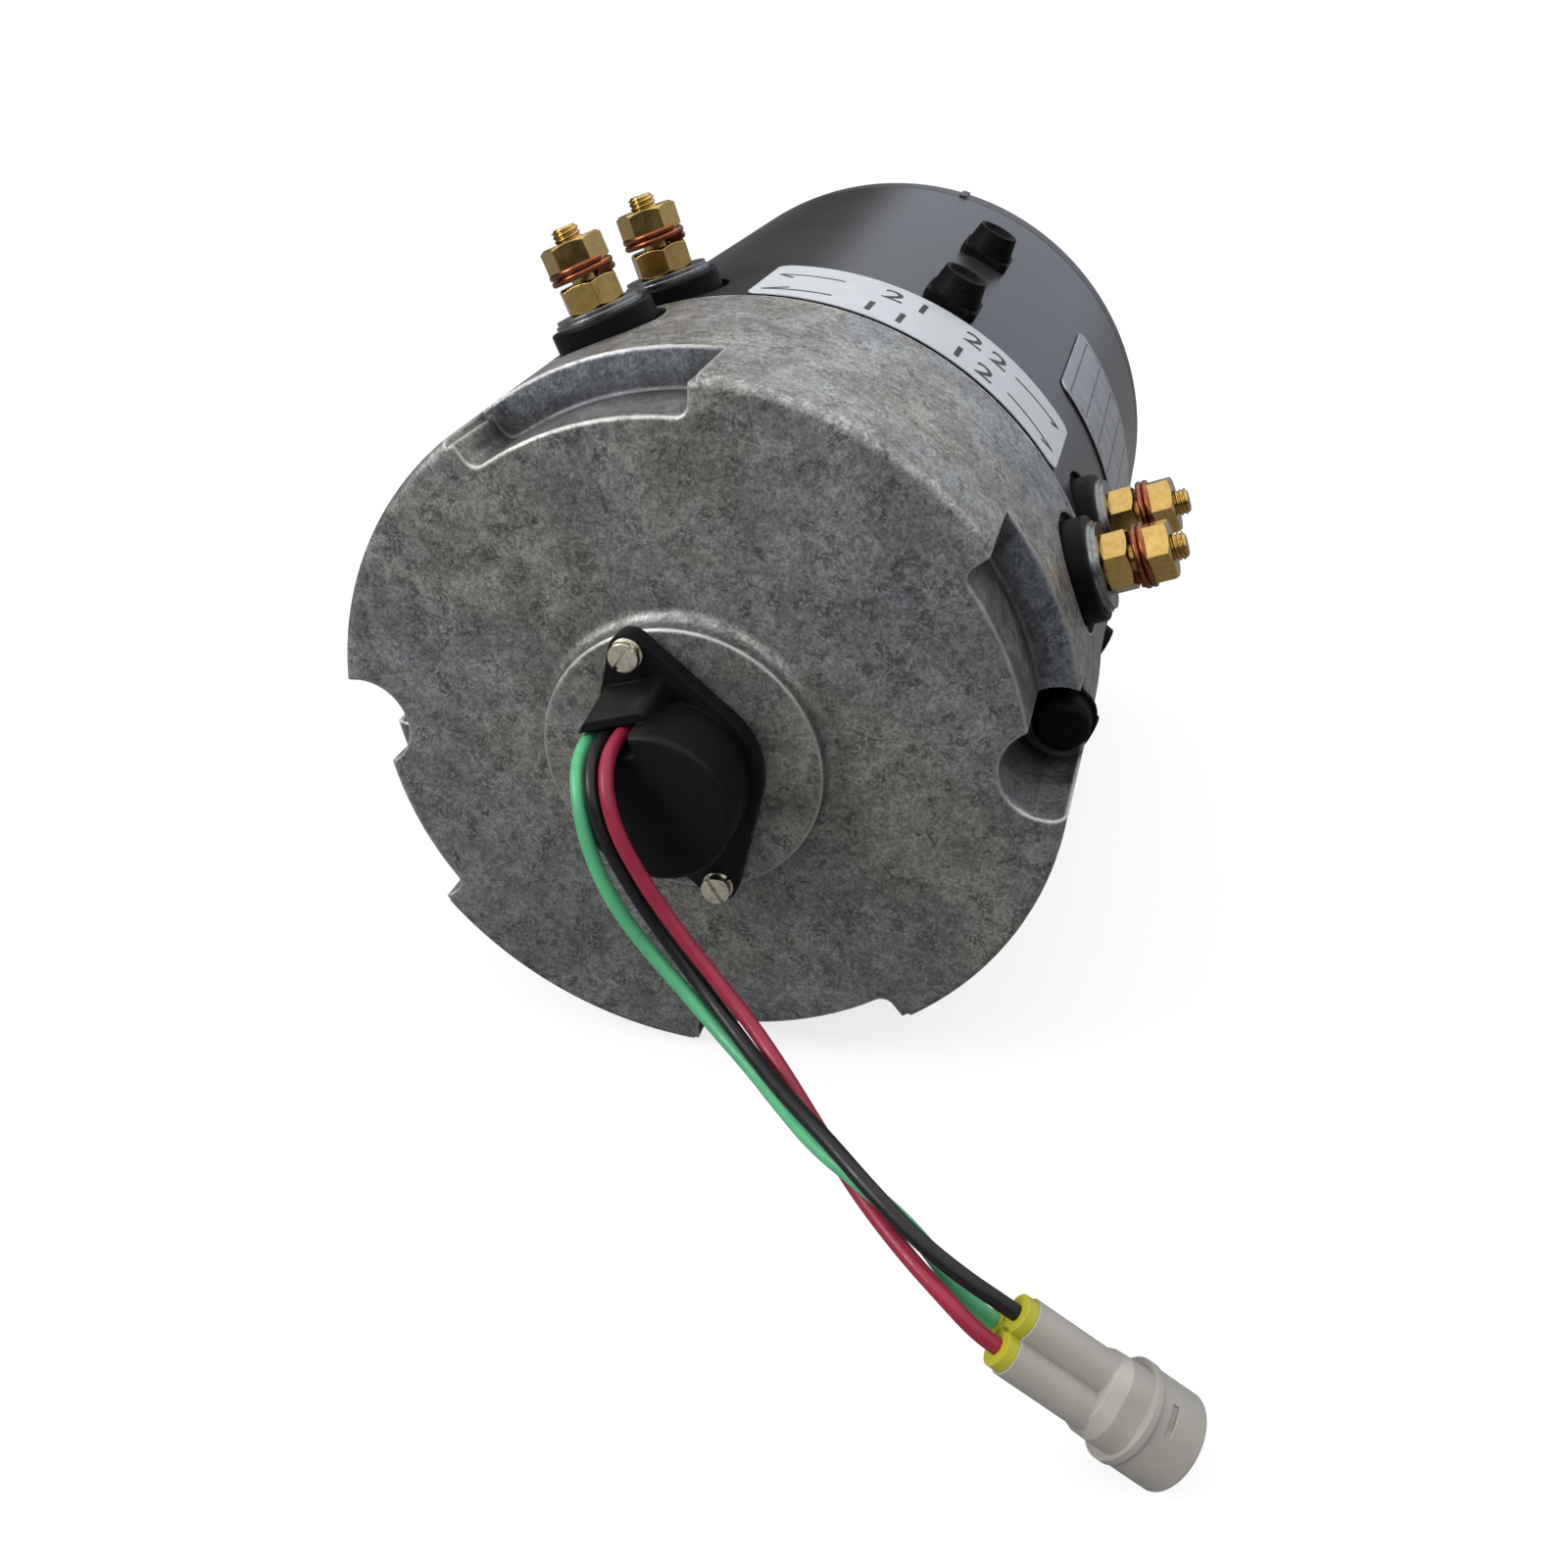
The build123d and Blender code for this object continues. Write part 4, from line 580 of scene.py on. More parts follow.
# %% [markdown]
# ## Print on the label
# The label names the terminals: arrows point to the two pairs of studs, and plain numbers stand
# between them. Print has almost no thickness, so each mark is a very thin shape. It is drawn flat,
# where right is round the yoke and up is away from the bell, and then laid on the label by turning
# each corner's flat place into an angle and a depth. Long strokes are subdivided first, because
# only their corners follow the curve.

# %% Tools for print
INK_THICK = 0.04 * MM
BOLDER = 0.14
LABEL_R = 85.6 * MM
PLATE_R = 85.7 * MM
MM_PER_DEGREE = pi / 180 * 85.6


def lay_on_yoke(piece, radius):
    """Roll a flat mark, drawn in millimetres from the label's middle, onto the yoke."""
    for vertex in piece.data.vertices:
        x, y, z = vertex.co
        vertex.co = on_yoke(x / MM_PER_DEGREE, y * MM, radius + z * MM)
    piece.data.update()
    return piece


def bar(first, last, width):
    """A straight stroke from one flat point to another, cut into short lengths."""
    first = Vector((first[0] * MM_PER_DEGREE, first[1], 0))
    last = Vector((last[0] * MM_PER_DEGREE, last[1], 0))
    bpy.ops.object.select_all(action="DESELECT")
    bpy.ops.mesh.primitive_plane_add(size=1.0)
    stroke = bpy.context.active_object
    bpy.ops.object.mode_set(mode="EDIT")
    bpy.ops.mesh.select_all(action="SELECT")
    bpy.ops.mesh.subdivide(number_cuts=11)
    bpy.ops.object.mode_set(mode="OBJECT")
    along = last - first
    across = Vector((-along.y, along.x, 0)).normalized() * width
    middle = (first + last) / 2
    shape = Matrix((along, across, Vector((0, 0, 1)))).transposed().to_4x4()
    stroke.data.transform(Matrix.Translation(middle) @ shape)
    return stroke


def number(text, turn, depth, size):
    """A plain number, made a mesh before its place is applied."""
    bpy.ops.object.select_all(action="DESELECT")
    bpy.ops.object.text_add()
    drawn = bpy.context.active_object
    drawn.data.body = text
    drawn.data.size = size
    drawn.data.space_character = 1.35
    drawn.data.offset = BOLDER
    drawn.data.align_x = "CENTER"
    drawn.data.align_y = "CENTER"
    bpy.ops.object.convert(target="MESH")
    drawn = bpy.context.active_object
    drawn.data.transform(Matrix.Translation((turn * MM_PER_DEGREE, depth, 0)))
    return drawn


def print_marks(name, marks, radius):
    """Join flat marks, give them the thickness of ink and lay them on the yoke."""
    piece = join(*marks)
    piece.name = name
    only(piece)
    bpy.ops.object.mode_set(mode="EDIT")
    bpy.ops.mesh.select_all(action="SELECT")
    bpy.ops.mesh.remove_doubles(threshold=0.0001)
    bpy.ops.mesh.extrude_region_move(TRANSFORM_OT_translate={"value": (0, 0, INK_THICK / MM)})
    bpy.ops.object.mode_set(mode="OBJECT")
    lay_on_yoke(piece, radius)
    settle(piece, Matrix.Identity(4))
    return piece


print("one degree round the label is", round(MM_PER_DEGREE, 3), "mm")

# %% Arrows and numbers on the label
STROKE = 0.95
ARROWS = {
    "upper_left": ((-16.4, 88.1), (-27.1, 87.0), (-24.4, 84.0)),
    "lower_left": ((-16.3, 72.8), (-27.3, 70.5), (-23.3, 73.7)),
    "upper_right": ((15.6, 88.6), (26.5, 89.9), (24.8, 87.3)),
    "lower_right": ((15.4, 74.4), (27.0, 73.0), (24.1, 71.1)),
}
NUMBERS = {"21": (-5.6, 88.6), "11": (-7.6, 73.4), "22": (9.2, 88.6), "12": (8.0, 73.4)}
NUMBER_SIZE = 11.5

label_marks = []
for tail, tip, barb in ARROWS.values():
    label_marks += [bar(tail, tip, STROKE), bar(tip, barb, STROKE)]
for text, (turn, depth) in NUMBERS.items():
    label_marks.append(number(text, turn, depth, NUMBER_SIZE))
label_print = print_marks("label_print", label_marks, LABEL_R)
hand_over(label_print, "black_plastic")
print("label print faces:", len(label_print.data.polygons))

# %% [markdown]
# ## Rules on the rating plate
# A rating plate is a table: a frame with ruled rows. It has only its lines here.

# %% Rules on the plate
FRAME_FIRST, FRAME_LAST = 26.6, 75.5
FRAME_TOP, FRAME_LOW = 124.0, 176.0
ROWS = 9
COLUMN = 147.0
FRAME_LINE = 0.35
ROW_LINE = 0.28

frame_corners = [(FRAME_FIRST, FRAME_TOP), (FRAME_FIRST, FRAME_LOW),
                 (FRAME_LAST, FRAME_LOW), (FRAME_LAST, FRAME_TOP)]
next_corners = frame_corners[1:] + frame_corners[:1]
plate_marks = [bar(first, last, FRAME_LINE) for first, last in zip(frame_corners, next_corners)]
column_start = FRAME_FIRST + (FRAME_LAST - FRAME_FIRST) / ROWS
for row in range(1, ROWS):
    turn = FRAME_FIRST + (FRAME_LAST - FRAME_FIRST) * row / ROWS
    plate_marks.append(bar((turn, FRAME_TOP), (turn, FRAME_LOW), ROW_LINE))
plate_marks.append(bar((column_start, COLUMN), (FRAME_LAST, COLUMN), ROW_LINE))
plate_print = print_marks("plate_rules", plate_marks, PLATE_R)
hand_over(plate_print, "black_plastic")
print("plate rules faces:", len(plate_print.data.polygons))

# %% [markdown]
# ## Tools for finishes
# A finish is a tree of shader nodes. Setting each node up by hand takes many lines, so one helper
# adds a node with its settings and links, and a few more wrap the ones used most: mixing two
# colours, a sum, a remapped range and a noise.

# %% Helpers for shader nodes
def fill(tree, node, inputs):
    """Set a node's inputs. Each is a plain value or the output socket that feeds it."""
    for name, value in (inputs or {}).items():
        if isinstance(value, bpy.types.NodeSocket):
            tree.links.new(value, node.inputs[name])
        else:
            node.inputs[name].default_value = value
    return node


def put(tree, kind, inputs=None, **settings):
    """Add a node with its settings and inputs."""
    node = tree.nodes.new("ShaderNode" + kind)
    for name, value in settings.items():
        setattr(node, name, value)
    return fill(tree, node, inputs)


def blend_colours(tree, factor, first, second, kind="MIX"):
    """Mix two colours, or one colour onto another."""
    node = put(tree, "Mix", {0: factor}, data_type="RGBA", blend_type=kind)
    for index, value in ((6, first), (7, second)):
        if isinstance(value, bpy.types.NodeSocket):
            tree.links.new(value, node.inputs[index])
        else:
            node.inputs[index].default_value = (*value, 1.0)
    return node.outputs[2]


def maths(tree, operation, first, second=0.0):
    return put(tree, "Math", {0: first, 1: second}, operation=operation).outputs[0]


def remap(tree, value, low, high, to_low=0.0, to_high=1.0):
    inputs = {"Value": value, "From Min": low, "From Max": high, "To Min": to_low, "To Max": to_high}
    return put(tree, "MapRange", inputs, interpolation_type="SMOOTHSTEP").outputs["Result"]


def noise(tree, vector, scale, detail=3.0, roughness=0.55, distortion=0.0):
    inputs = {"Vector": vector, "Scale": scale, "Detail": detail, "Roughness": roughness,
              "Distortion": distortion}
    return put(tree, "TexNoise", inputs).outputs["Fac"]


def new_group(name, inputs, outputs):
    """An empty node group with named inputs and outputs."""
    tree = bpy.data.node_groups.new(name, "ShaderNodeTree")
    for title, (kind, value) in inputs.items():
        socket = tree.interface.new_socket(title, in_out="INPUT", socket_type="NodeSocket" + kind)
        socket.default_value = value
    for title, kind in outputs.items():
        tree.interface.new_socket(title, in_out="OUTPUT", socket_type="NodeSocket" + kind)
    return tree, tree.nodes.new("NodeGroupInput"), tree.nodes.new("NodeGroupOutput")


def use(tree, group, inputs=None):
    """Place a group in a material."""
    node = tree.nodes.new("ShaderNodeGroup")
    node.node_tree = group
    return fill(tree, node, inputs)


print("shader helpers ready")

# %% [markdown]
# ## Effects that several finishes share
# Real edges are never sharp: they catch a thin line of light, and paint or oxide wears off them
# first. A Bevel node gives both: the rounded normal, and a mask where it differs from the flat
# one. The mask lightens the edges as wear, and on the bell also as a painted highlight. It can't
# tell an edge from an inner corner, so Ambient Occlusion sorts them: a corner has walls near it
# and is left out of the mask, and on the bell it is darkened with painted shade and grime. The
# mottle, the fine grain, the hair veins and the turning lines are groups too, so that each finish
# places them with its own scale.

# %% Group: edge wear, painted highlight and painted corner shade
edge_wear_and_light, go_in, go_out = new_group(
    "edge_wear_and_light", {"Radius": ("Float", 0.001), "Breakup": ("Float", 0.5)},
    {"Mask": "Float", "Inner": "Float", "Normal": "Vector"})
rounded = put(edge_wear_and_light, "Bevel", {"Radius": go_in.outputs["Radius"]}, samples=6)
flat = put(edge_wear_and_light, "NewGeometry")
alike = put(edge_wear_and_light, "VectorMath", {0: rounded.outputs[0], 1: flat.outputs["Normal"]},
            operation="DOT_PRODUCT")
sharp = remap(edge_wear_and_light, maths(edge_wear_and_light, "SUBTRACT", 1.0, alike.outputs["Value"]), 0.035, 0.17)
spots = noise(edge_wear_and_light, put(edge_wear_and_light, "TexCoord").outputs["Object"], 420.0, 4.0)
kept = remap(edge_wear_and_light, spots, 0.3, 0.7)
broken = maths(edge_wear_and_light, "SUBTRACT", 1.0, maths(edge_wear_and_light, "MULTIPLY", kept, go_in.outputs["Breakup"]))
reach = maths(edge_wear_and_light, "MULTIPLY", go_in.outputs["Radius"], 5.0)
open_sky = put(edge_wear_and_light, "AmbientOcclusion", {"Distance": reach}, samples=6, only_local=True)
outer = remap(edge_wear_and_light, open_sky.outputs["AO"], 0.62, 0.86)
lit = maths(edge_wear_and_light, "MULTIPLY", sharp, broken)
edge_wear_and_light.links.new(maths(edge_wear_and_light, "MULTIPLY", lit, outer), go_out.inputs["Mask"])
edge_wear_and_light.links.new(maths(edge_wear_and_light, "SUBTRACT", 1.0, outer), go_out.inputs["Inner"])
edge_wear_and_light.links.new(rounded.outputs[0], go_out.inputs["Normal"])
print(edge_wear_and_light.name, [socket.name for socket in go_out.inputs if socket.name])

# %% Group: mottle
mottle, go_in, go_out = new_group(
    "mottle", {"Scale": ("Float", 30.0)}, {"Broad": "Float", "Fine": "Float"})
place = put(mottle, "TexCoord").outputs["Object"]
broad = noise(mottle, place, go_in.outputs["Scale"], 4.0, 0.6, 0.6)
fine = noise(mottle, place, maths(mottle, "MULTIPLY", go_in.outputs["Scale"], 5.0), 5.0, 0.65, 0.3)
mottle.links.new(remap(mottle, broad, 0.3, 0.7), go_out.inputs["Broad"])
mottle.links.new(remap(mottle, fine, 0.3, 0.7), go_out.inputs["Fine"])
print(mottle.name)

# %% Group: grain
grain, go_in, go_out = new_group("grain", {"Scale": ("Float", 1500.0)}, {"Height": "Float"})
place = put(grain, "TexCoord").outputs["Object"]
coarse = noise(grain, place, go_in.outputs["Scale"], 3.0, 0.7)
broadly = noise(grain, place, maths(grain, "MULTIPLY", go_in.outputs["Scale"], 0.28), 2.0, 0.5)
grain.links.new(maths(grain, "ADD", maths(grain, "MULTIPLY", coarse, 0.6),
                      maths(grain, "MULTIPLY", broadly, 0.4)), go_out.inputs["Height"])
print(grain.name)

# %% Group: hair veins
veins, go_in, go_out = new_group(
    "veins", {"Scale": ("Float", 260.0), "Width": ("Float", 0.03)}, {"Mask": "Float"})
place = put(veins, "TexCoord").outputs["Object"]
winding = noise(veins, place, go_in.outputs["Scale"], 2.0, 0.6, 1.6)
off_line = maths(veins, "ABSOLUTE", maths(veins, "SUBTRACT", winding, 0.5))
line = maths(veins, "SUBTRACT", 1.0, remap(veins, off_line, 0.0, go_in.outputs["Width"]))
patch = noise(veins, place, maths(veins, "MULTIPLY", go_in.outputs["Scale"], 0.7), 2.0, 0.5)
veins.links.new(maths(veins, "MULTIPLY", line, remap(veins, patch, 0.5, 0.62)), go_out.inputs["Mask"])
print(veins.name)

# %% Group: turning lines
turned, go_in, go_out = new_group("turned", {"Pitch": ("Float", 0.0006)}, {"Height": "Float"})
place = put(turned, "TexCoord").outputs["Object"]
split = put(turned, "SeparateXYZ", {"Vector": place})
squared = maths(turned, "ADD", maths(turned, "POWER", split.outputs["X"], 2.0),
                maths(turned, "POWER", split.outputs["Z"], 2.0))
travel = maths(turned, "ADD", maths(turned, "SQRT", squared), split.outputs["Y"])
lines_passed = maths(turned, "DIVIDE", travel, go_in.outputs["Pitch"])
wave = maths(turned, "SINE", maths(turned, "MULTIPLY", lines_passed, 2 * pi))
turned.links.new(wave, go_out.inputs["Height"])
print(turned.name)

# %% [markdown]
# ## A frame for every finish
# Each finish is one function. All start alike: a material with a Principled shader, whose plain
# numbers are set on its own sockets, and a bump that reads a height. The rounded normal of the
# edges goes into the bump, so both work together.

# %% Start of a finish
FINISHES = {}


def start_finish(slot, metallic=0.0, specular=0.5, coat=0.0, coat_roughness=0.1):
    """A material named for its slot, with its node tree and Principled shader."""
    material = bpy.data.materials.new(slot)
    material.use_nodes = True
    shader = material.node_tree.nodes["Principled BSDF"]
    shader.inputs["Metallic"].default_value = metallic
    shader.inputs["Specular IOR Level"].default_value = specular
    shader.inputs["Coat Weight"].default_value = coat
    shader.inputs["Coat Roughness"].default_value = coat_roughness
    FINISHES[slot] = material
    return material.node_tree, shader


def feed(tree, shader, colour, roughness, height, strength, distance, normal):
    """Link a colour, a roughness and a bump to the shader."""
    tree.links.new(colour, shader.inputs["Base Color"])
    tree.links.new(roughness, shader.inputs["Roughness"])
    inputs = {"Height": height, "Strength": strength, "Distance": distance, "Normal": normal}
    tree.links.new(put(tree, "Bump", inputs).outputs["Normal"], shader.inputs["Normal"])


# %% [markdown]
# ## Cast aluminium
# The bell is a die casting that has darkened: broad cool and warm patches, a finer mottle, short
# dark hair veins where the skin folded, and a sandy grain. Its edges are well rounded and painted
# bright as a highlight, partly also wear, and its corners are darkened with painted shade and grime.
# It is metal, so it takes most of its brightness from what it mirrors: its face looks dark and its
# top side bright, although both have one colour. Only the pockets differ: their floors are slightly
# bluer, and their inner walls are darkened with painted shade and grime.

# %% Finish: cast aluminium
POCKET_WALL_R = 77.0 * MM
POCKET_DEEPER_THAN = -239.8 * MM


def pocket_masks(tree):
    """Two masks: the pockets' floors with their bluish skin, and their inner walls, which are darkened
    with painted shade and grime.
    """
    place = put(tree, "TexCoord")
    facing = put(tree, "SeparateXYZ", {"Vector": place.outputs["Normal"]}).outputs["Y"]
    toward_us = remap(tree, maths(tree, "MULTIPLY", facing, -1.0), 0.35, 0.60)
    point = put(tree, "SeparateXYZ", {"Vector": place.outputs["Object"]})
    deep = maths(tree, "GREATER_THAN", point.outputs["Y"], POCKET_DEEPER_THAN)
    floor_part = maths(tree, "MULTIPLY", toward_us, deep)
    out = maths(tree, "ADD", maths(tree, "POWER", point.outputs["X"], 2.0),
                maths(tree, "POWER", point.outputs["Z"], 2.0))
    inside = maths(tree, "LESS_THAN", maths(tree, "SQRT", out), POCKET_WALL_R)
    wall_part = maths(tree, "MULTIPLY", inside, maths(tree, "SUBTRACT", deep, floor_part))
    return floor_part, wall_part


def cast_aluminium():
    tree, shader = start_finish("cast_aluminium", metallic=0.85)
    patches = use(tree, mottle, {"Scale": 17.0})
    clouds = use(tree, mottle, {"Scale": 110.0})
    tint = blend_colours(tree, patches.outputs["Broad"], (0.250, 0.264, 0.282), (0.292, 0.284, 0.252))
    floor_part, wall_part = pocket_masks(tree)
    tint = blend_colours(tree, floor_part, tint, (0.235, 0.255, 0.292))
    # Painted shade and grime: the pockets' inner walls are darkened.
    tint = blend_colours(tree, wall_part, tint, (0.170, 0.170, 0.170))
    light = remap(tree, patches.outputs["Fine"], 0.0, 1.0, 0.80, 1.16)
    shade = maths(tree, "MULTIPLY", light, remap(tree, clouds.outputs["Fine"], 0.0, 1.0, 0.76, 1.20))
    place = put(tree, "TexCoord").outputs["Object"]
    specks = remap(tree, noise(tree, place, 1500.0, 3.0, 0.7), 0.32, 0.68, 0.66, 1.34)
    shade = maths(tree, "MULTIPLY", shade, specks)
    grey = put(tree, "CombineColor", {0: shade, 1: shade, 2: shade}).outputs[0]
    colour = blend_colours(tree, 1.0, tint, grey, "MULTIPLY")
    hairs = use(tree, veins, {"Scale": 300.0, "Width": 0.085})
    dark = maths(tree, "MULTIPLY", hairs.outputs["Mask"], 0.70)
    colour = blend_colours(tree, dark, colour, (0.05, 0.05, 0.05))
    edges = use(tree, edge_wear_and_light, {"Radius": 0.0017, "Breakup": 0.15})
    # Painted shade and grime: inner corners and hollows, where walls stand near, are darkened.
    shade_and_grime = maths(tree, "MULTIPLY", edges.outputs["Inner"], 0.7)
    colour = blend_colours(tree, shade_and_grime, colour, (0.07, 0.068, 0.066))
    # Painted highlight, partly also wear: the bell's rounded edges are lightened to a pale grey.
    bright = maths(tree, "MULTIPLY", edges.outputs["Mask"], 0.85)
    colour = blend_colours(tree, bright, colour, (0.68, 0.68, 0.66))
    roughness = remap(tree, clouds.outputs["Broad"], 0.0, 1.0, 0.40, 0.54)
    sand = use(tree, grain, {"Scale": 1700.0})
    sunk = maths(tree, "MULTIPLY", hairs.outputs["Mask"], 0.2)
    height = maths(tree, "SUBTRACT", sand.outputs["Height"], sunk)
    feed(tree, shader, colour, roughness, height, 0.45, 0.00025, edges.outputs["Normal"])


cast_aluminium()
print("cast aluminium ready")

# %% [markdown]
# ## Paint on steel
# The yoke and the head behind it are sprayed satin black. Sprayed paint has a faint orange peel
# and mirrors at a low angle, which makes the top of the yoke look blue grey although the paint is
# black. Screws are blackened instead: darker, thinner and with bare steel on their edges.

# %% Finishes: paint and black oxide
def paint(slot, colour, roughness):
    tree, shader = start_finish(slot)
    patches = use(tree, mottle, {"Scale": 16.0})
    low = tuple(0.85 * value for value in colour)
    high = tuple(1.2 * value for value in colour)
    tone = blend_colours(tree, patches.outputs["Broad"], low, high)
    edges = use(tree, edge_wear_and_light, {"Radius": 0.0007, "Breakup": 0.7})
    bare = maths(tree, "MULTIPLY", edges.outputs["Mask"], 0.35)
    tone = blend_colours(tree, bare, tone, (0.14, 0.14, 0.145))
    spread = remap(tree, patches.outputs["Broad"], 0.0, 1.0, roughness - 0.01, roughness + 0.02)
    peel = use(tree, grain, {"Scale": 900.0})
    feed(tree, shader, tone, spread, peel.outputs["Height"], 0.03, 0.0001, edges.outputs["Normal"])


def black_oxide():
    tree, shader = start_finish("black_oxide", specular=0.03)
    patches = use(tree, mottle, {"Scale": 160.0})
    tone = blend_colours(tree, patches.outputs["Fine"], (0.003, 0.003, 0.0032), (0.008, 0.008, 0.0085))
    edges = use(tree, edge_wear_and_light, {"Radius": 0.0004, "Breakup": 0.5})
    bare = maths(tree, "MULTIPLY", edges.outputs["Mask"], 0.4)
    tone = blend_colours(tree, bare, tone, (0.035, 0.035, 0.037))
    spread = remap(tree, patches.outputs["Broad"], 0.0, 1.0, 0.38, 0.50)
    sand = use(tree, grain, {"Scale": 1400.0})
    feed(tree, shader, tone, spread, sand.outputs["Height"], 0.25, 0.0001, edges.outputs["Normal"])


paint("yoke_paint", (0.018, 0.018, 0.019), 0.27)
paint("head_iron", (0.016, 0.016, 0.017), 0.40)
black_oxide()
print("paints ready")

# %% [markdown]
# ## Bright metals
# Brass nuts are drawn bars: smooth flats, a rich yellow and darker stains in patches. Copper,
# nickel, zinc and steel differ from them in colour, roughness and how much they are stained, and
# the shaft and bearing steel also show turning lines, so one function makes them all.

# %% Finishes: bright metals
def bright_metal(slot, clean, stained, roughness, stain=0.5, line_strength=0.0):
    tree, shader = start_finish(slot, metallic=1.0)
    patches = use(tree, mottle, {"Scale": 150.0})
    amount = maths(tree, "MULTIPLY", maths(tree, "POWER", patches.outputs["Fine"], 1.6), stain)
    tone = blend_colours(tree, amount, clean, stained)
    edges = use(tree, edge_wear_and_light, {"Radius": 0.0003, "Breakup": 0.3})
    lighter = tuple(min(1.0, 1.12 * value) for value in clean)
    tone = blend_colours(tree, maths(tree, "MULTIPLY", edges.outputs["Mask"], 0.5), tone, lighter)
    spread = remap(tree, patches.outputs["Broad"], 0.0, 1.0, roughness - 0.05, roughness + 0.09)
    sand = use(tree, grain, {"Scale": 2600.0})
    height = sand.outputs["Height"]
    if line_strength > 0.0:
        rings = use(tree, turned, {"Pitch": 0.00045})
        lines = maths(tree, "MULTIPLY", rings.outputs["Height"], line_strength)
        height = maths(tree, "ADD", height, lines)
    feed(tree, shader, tone, spread, height, 0.12, 0.00006, edges.outputs["Normal"])


bright_metal("brass", (0.52, 0.355, 0.118), (0.32, 0.145, 0.038), 0.19, 0.4)
bright_metal("copper", (0.28, 0.09, 0.042), (0.12, 0.035, 0.015), 0.25, 0.5)
bright_metal("zinc_steel", (0.25, 0.26, 0.27), (0.09, 0.09, 0.095), 0.30, 0.7)
bright_metal("nickel_steel", (0.84, 0.80, 0.66), (0.34, 0.31, 0.23), 0.26, 0.5)
bright_metal("shaft_steel", (0.56, 0.56, 0.57), (0.34, 0.33, 0.32), 0.28, 0.4, 0.5)
bright_metal("bearing_steel", (0.72, 0.72, 0.73), (0.55, 0.55, 0.56), 0.14, 0.3, 0.3)
bright_metal("lamination_steel", (0.45, 0.45, 0.46), (0.25, 0.24, 0.23), 0.38, 0.6)
bright_metal("plate_silver", (0.42, 0.43, 0.45), (0.33, 0.34, 0.36), 0.34, 0.3)
print("metals ready")

# %% [markdown]
# ## Plastics, rubber and board
# Moulded pieces take their look from their surface: a fine spark-eroded texture, a slight gloss,
# and edges that look lighter where they are rubbed. One function serves the black phenolic, the
# sensor's plastic, the plug's nylon, the seals, the brushes and the boards.

# %% Finishes: moulded pieces
def moulded(slot, colour, roughness, variation=0.25, grain_scale=1800.0, bump=0.2, rubbed=0.3,
            specular=0.5, coat=0.0):
    tree, shader = start_finish(slot, specular=specular, coat=coat, coat_roughness=0.15)
    patches = use(tree, mottle, {"Scale": 70.0})
    low = tuple((1 - variation) * value for value in colour)
    high = tuple(min(1.0, (1 + variation) * value) for value in colour)
    tone = blend_colours(tree, patches.outputs["Broad"], low, high)
    edges = use(tree, edge_wear_and_light, {"Radius": 0.0004, "Breakup": 0.4})
    lighter = tuple(min(1.0, 1.4 * value + 0.012) for value in colour)
    tone = blend_colours(tree, maths(tree, "MULTIPLY", edges.outputs["Mask"], rubbed), tone, lighter)
    spread = remap(tree, patches.outputs["Fine"], 0.0, 1.0, roughness - 0.05, roughness + 0.07)
    texture = use(tree, grain, {"Scale": grain_scale})
    feed(tree, shader, tone, spread, texture.outputs["Height"], bump, 0.0001, edges.outputs["Normal"])


moulded("phenolic", (0.0035, 0.0035, 0.004), 0.45, specular=0.10, rubbed=0.1)
moulded("tan_phenolic", (0.55, 0.40, 0.24), 0.55)
moulded("carbon", (0.03, 0.03, 0.032), 0.50)
moulded("black_plastic", (0.0030, 0.0030, 0.0032), 0.48, specular=0.18, rubbed=0.1)
moulded("board_green", (0.05, 0.22, 0.12), 0.40)
moulded("magnet", (0.10, 0.10, 0.105), 0.55)
moulded("nitrile", (0.015, 0.015, 0.015), 0.60)
moulded("housing_white", (0.315, 0.300, 0.270), 0.40, variation=0.05, bump=0.12, rubbed=0.5)
moulded("seal_yellow", (0.40, 0.37, 0.02), 0.38, variation=0.1)
moulded("enamel_winding", (0.35, 0.11, 0.04), 0.25, coat=0.6)
moulded("tape_winding", (0.62, 0.55, 0.40), 0.70, grain_scale=700.0, bump=0.5)
print("moulded finishes ready")

# %% [markdown]
# ## Wire insulation and label film
# The insulation is soft vinyl with a low sheen. The label is a silvery white film with a very fine
# grain, slightly brighter in patches, and its print is dull black.

# %% Finishes: wires, film and ink
INSULATION = {
    "wire_red": (0.25, 0.016, 0.040),
    "wire_black": (0.006, 0.006, 0.0065),
    "wire_green": (0.075, 0.37, 0.17),
}

for slot_name, colour in INSULATION.items():
    moulded(slot_name, colour, 0.36, variation=0.12, grain_scale=900.0, bump=0.1, rubbed=0.0,
            specular=0.32)
moulded("label_silver", (0.45, 0.475, 0.505), 0.48, variation=0.03, grain_scale=2400.0, bump=0.06,
        rubbed=0.1, specular=0.3)
moulded("ink", (0.012, 0.012, 0.013), 0.55, rubbed=0.0)
print("finishes:", len(FINISHES))

# %% Give every piece its finish
for part in frame["record"]["subparts"]:
    for material_slot in nodes[part["node"]].material_slots:
        material_slot.material = FINISHES[part["material_slot"]]


def dress(piece, finish):
    piece.data.materials.clear()
    piece.data.materials.append(FINISHES[finish])


for colour, wire in wires.items():
    dress(wire, "wire_" + colour)
for stud in studs:
    dress(stud, "brass")
for washer in split_washers:
    dress(washer, "copper")
dress(case, "black_plastic")
for piece in sensor_fixings:
    dress(piece, "nickel_steel")
dress(label_print, "ink")
dress(plate_print, "ink")
print("all pieces have their finish")

# %% [markdown]
# ## Floor
# The motor lies on a white floor. Near it the floor is plain and keeps a soft shadow. Further away
# it gives its own light to the camera, so that it runs into the white background without a line.
# The floor is as high as the lowest point of the motor.

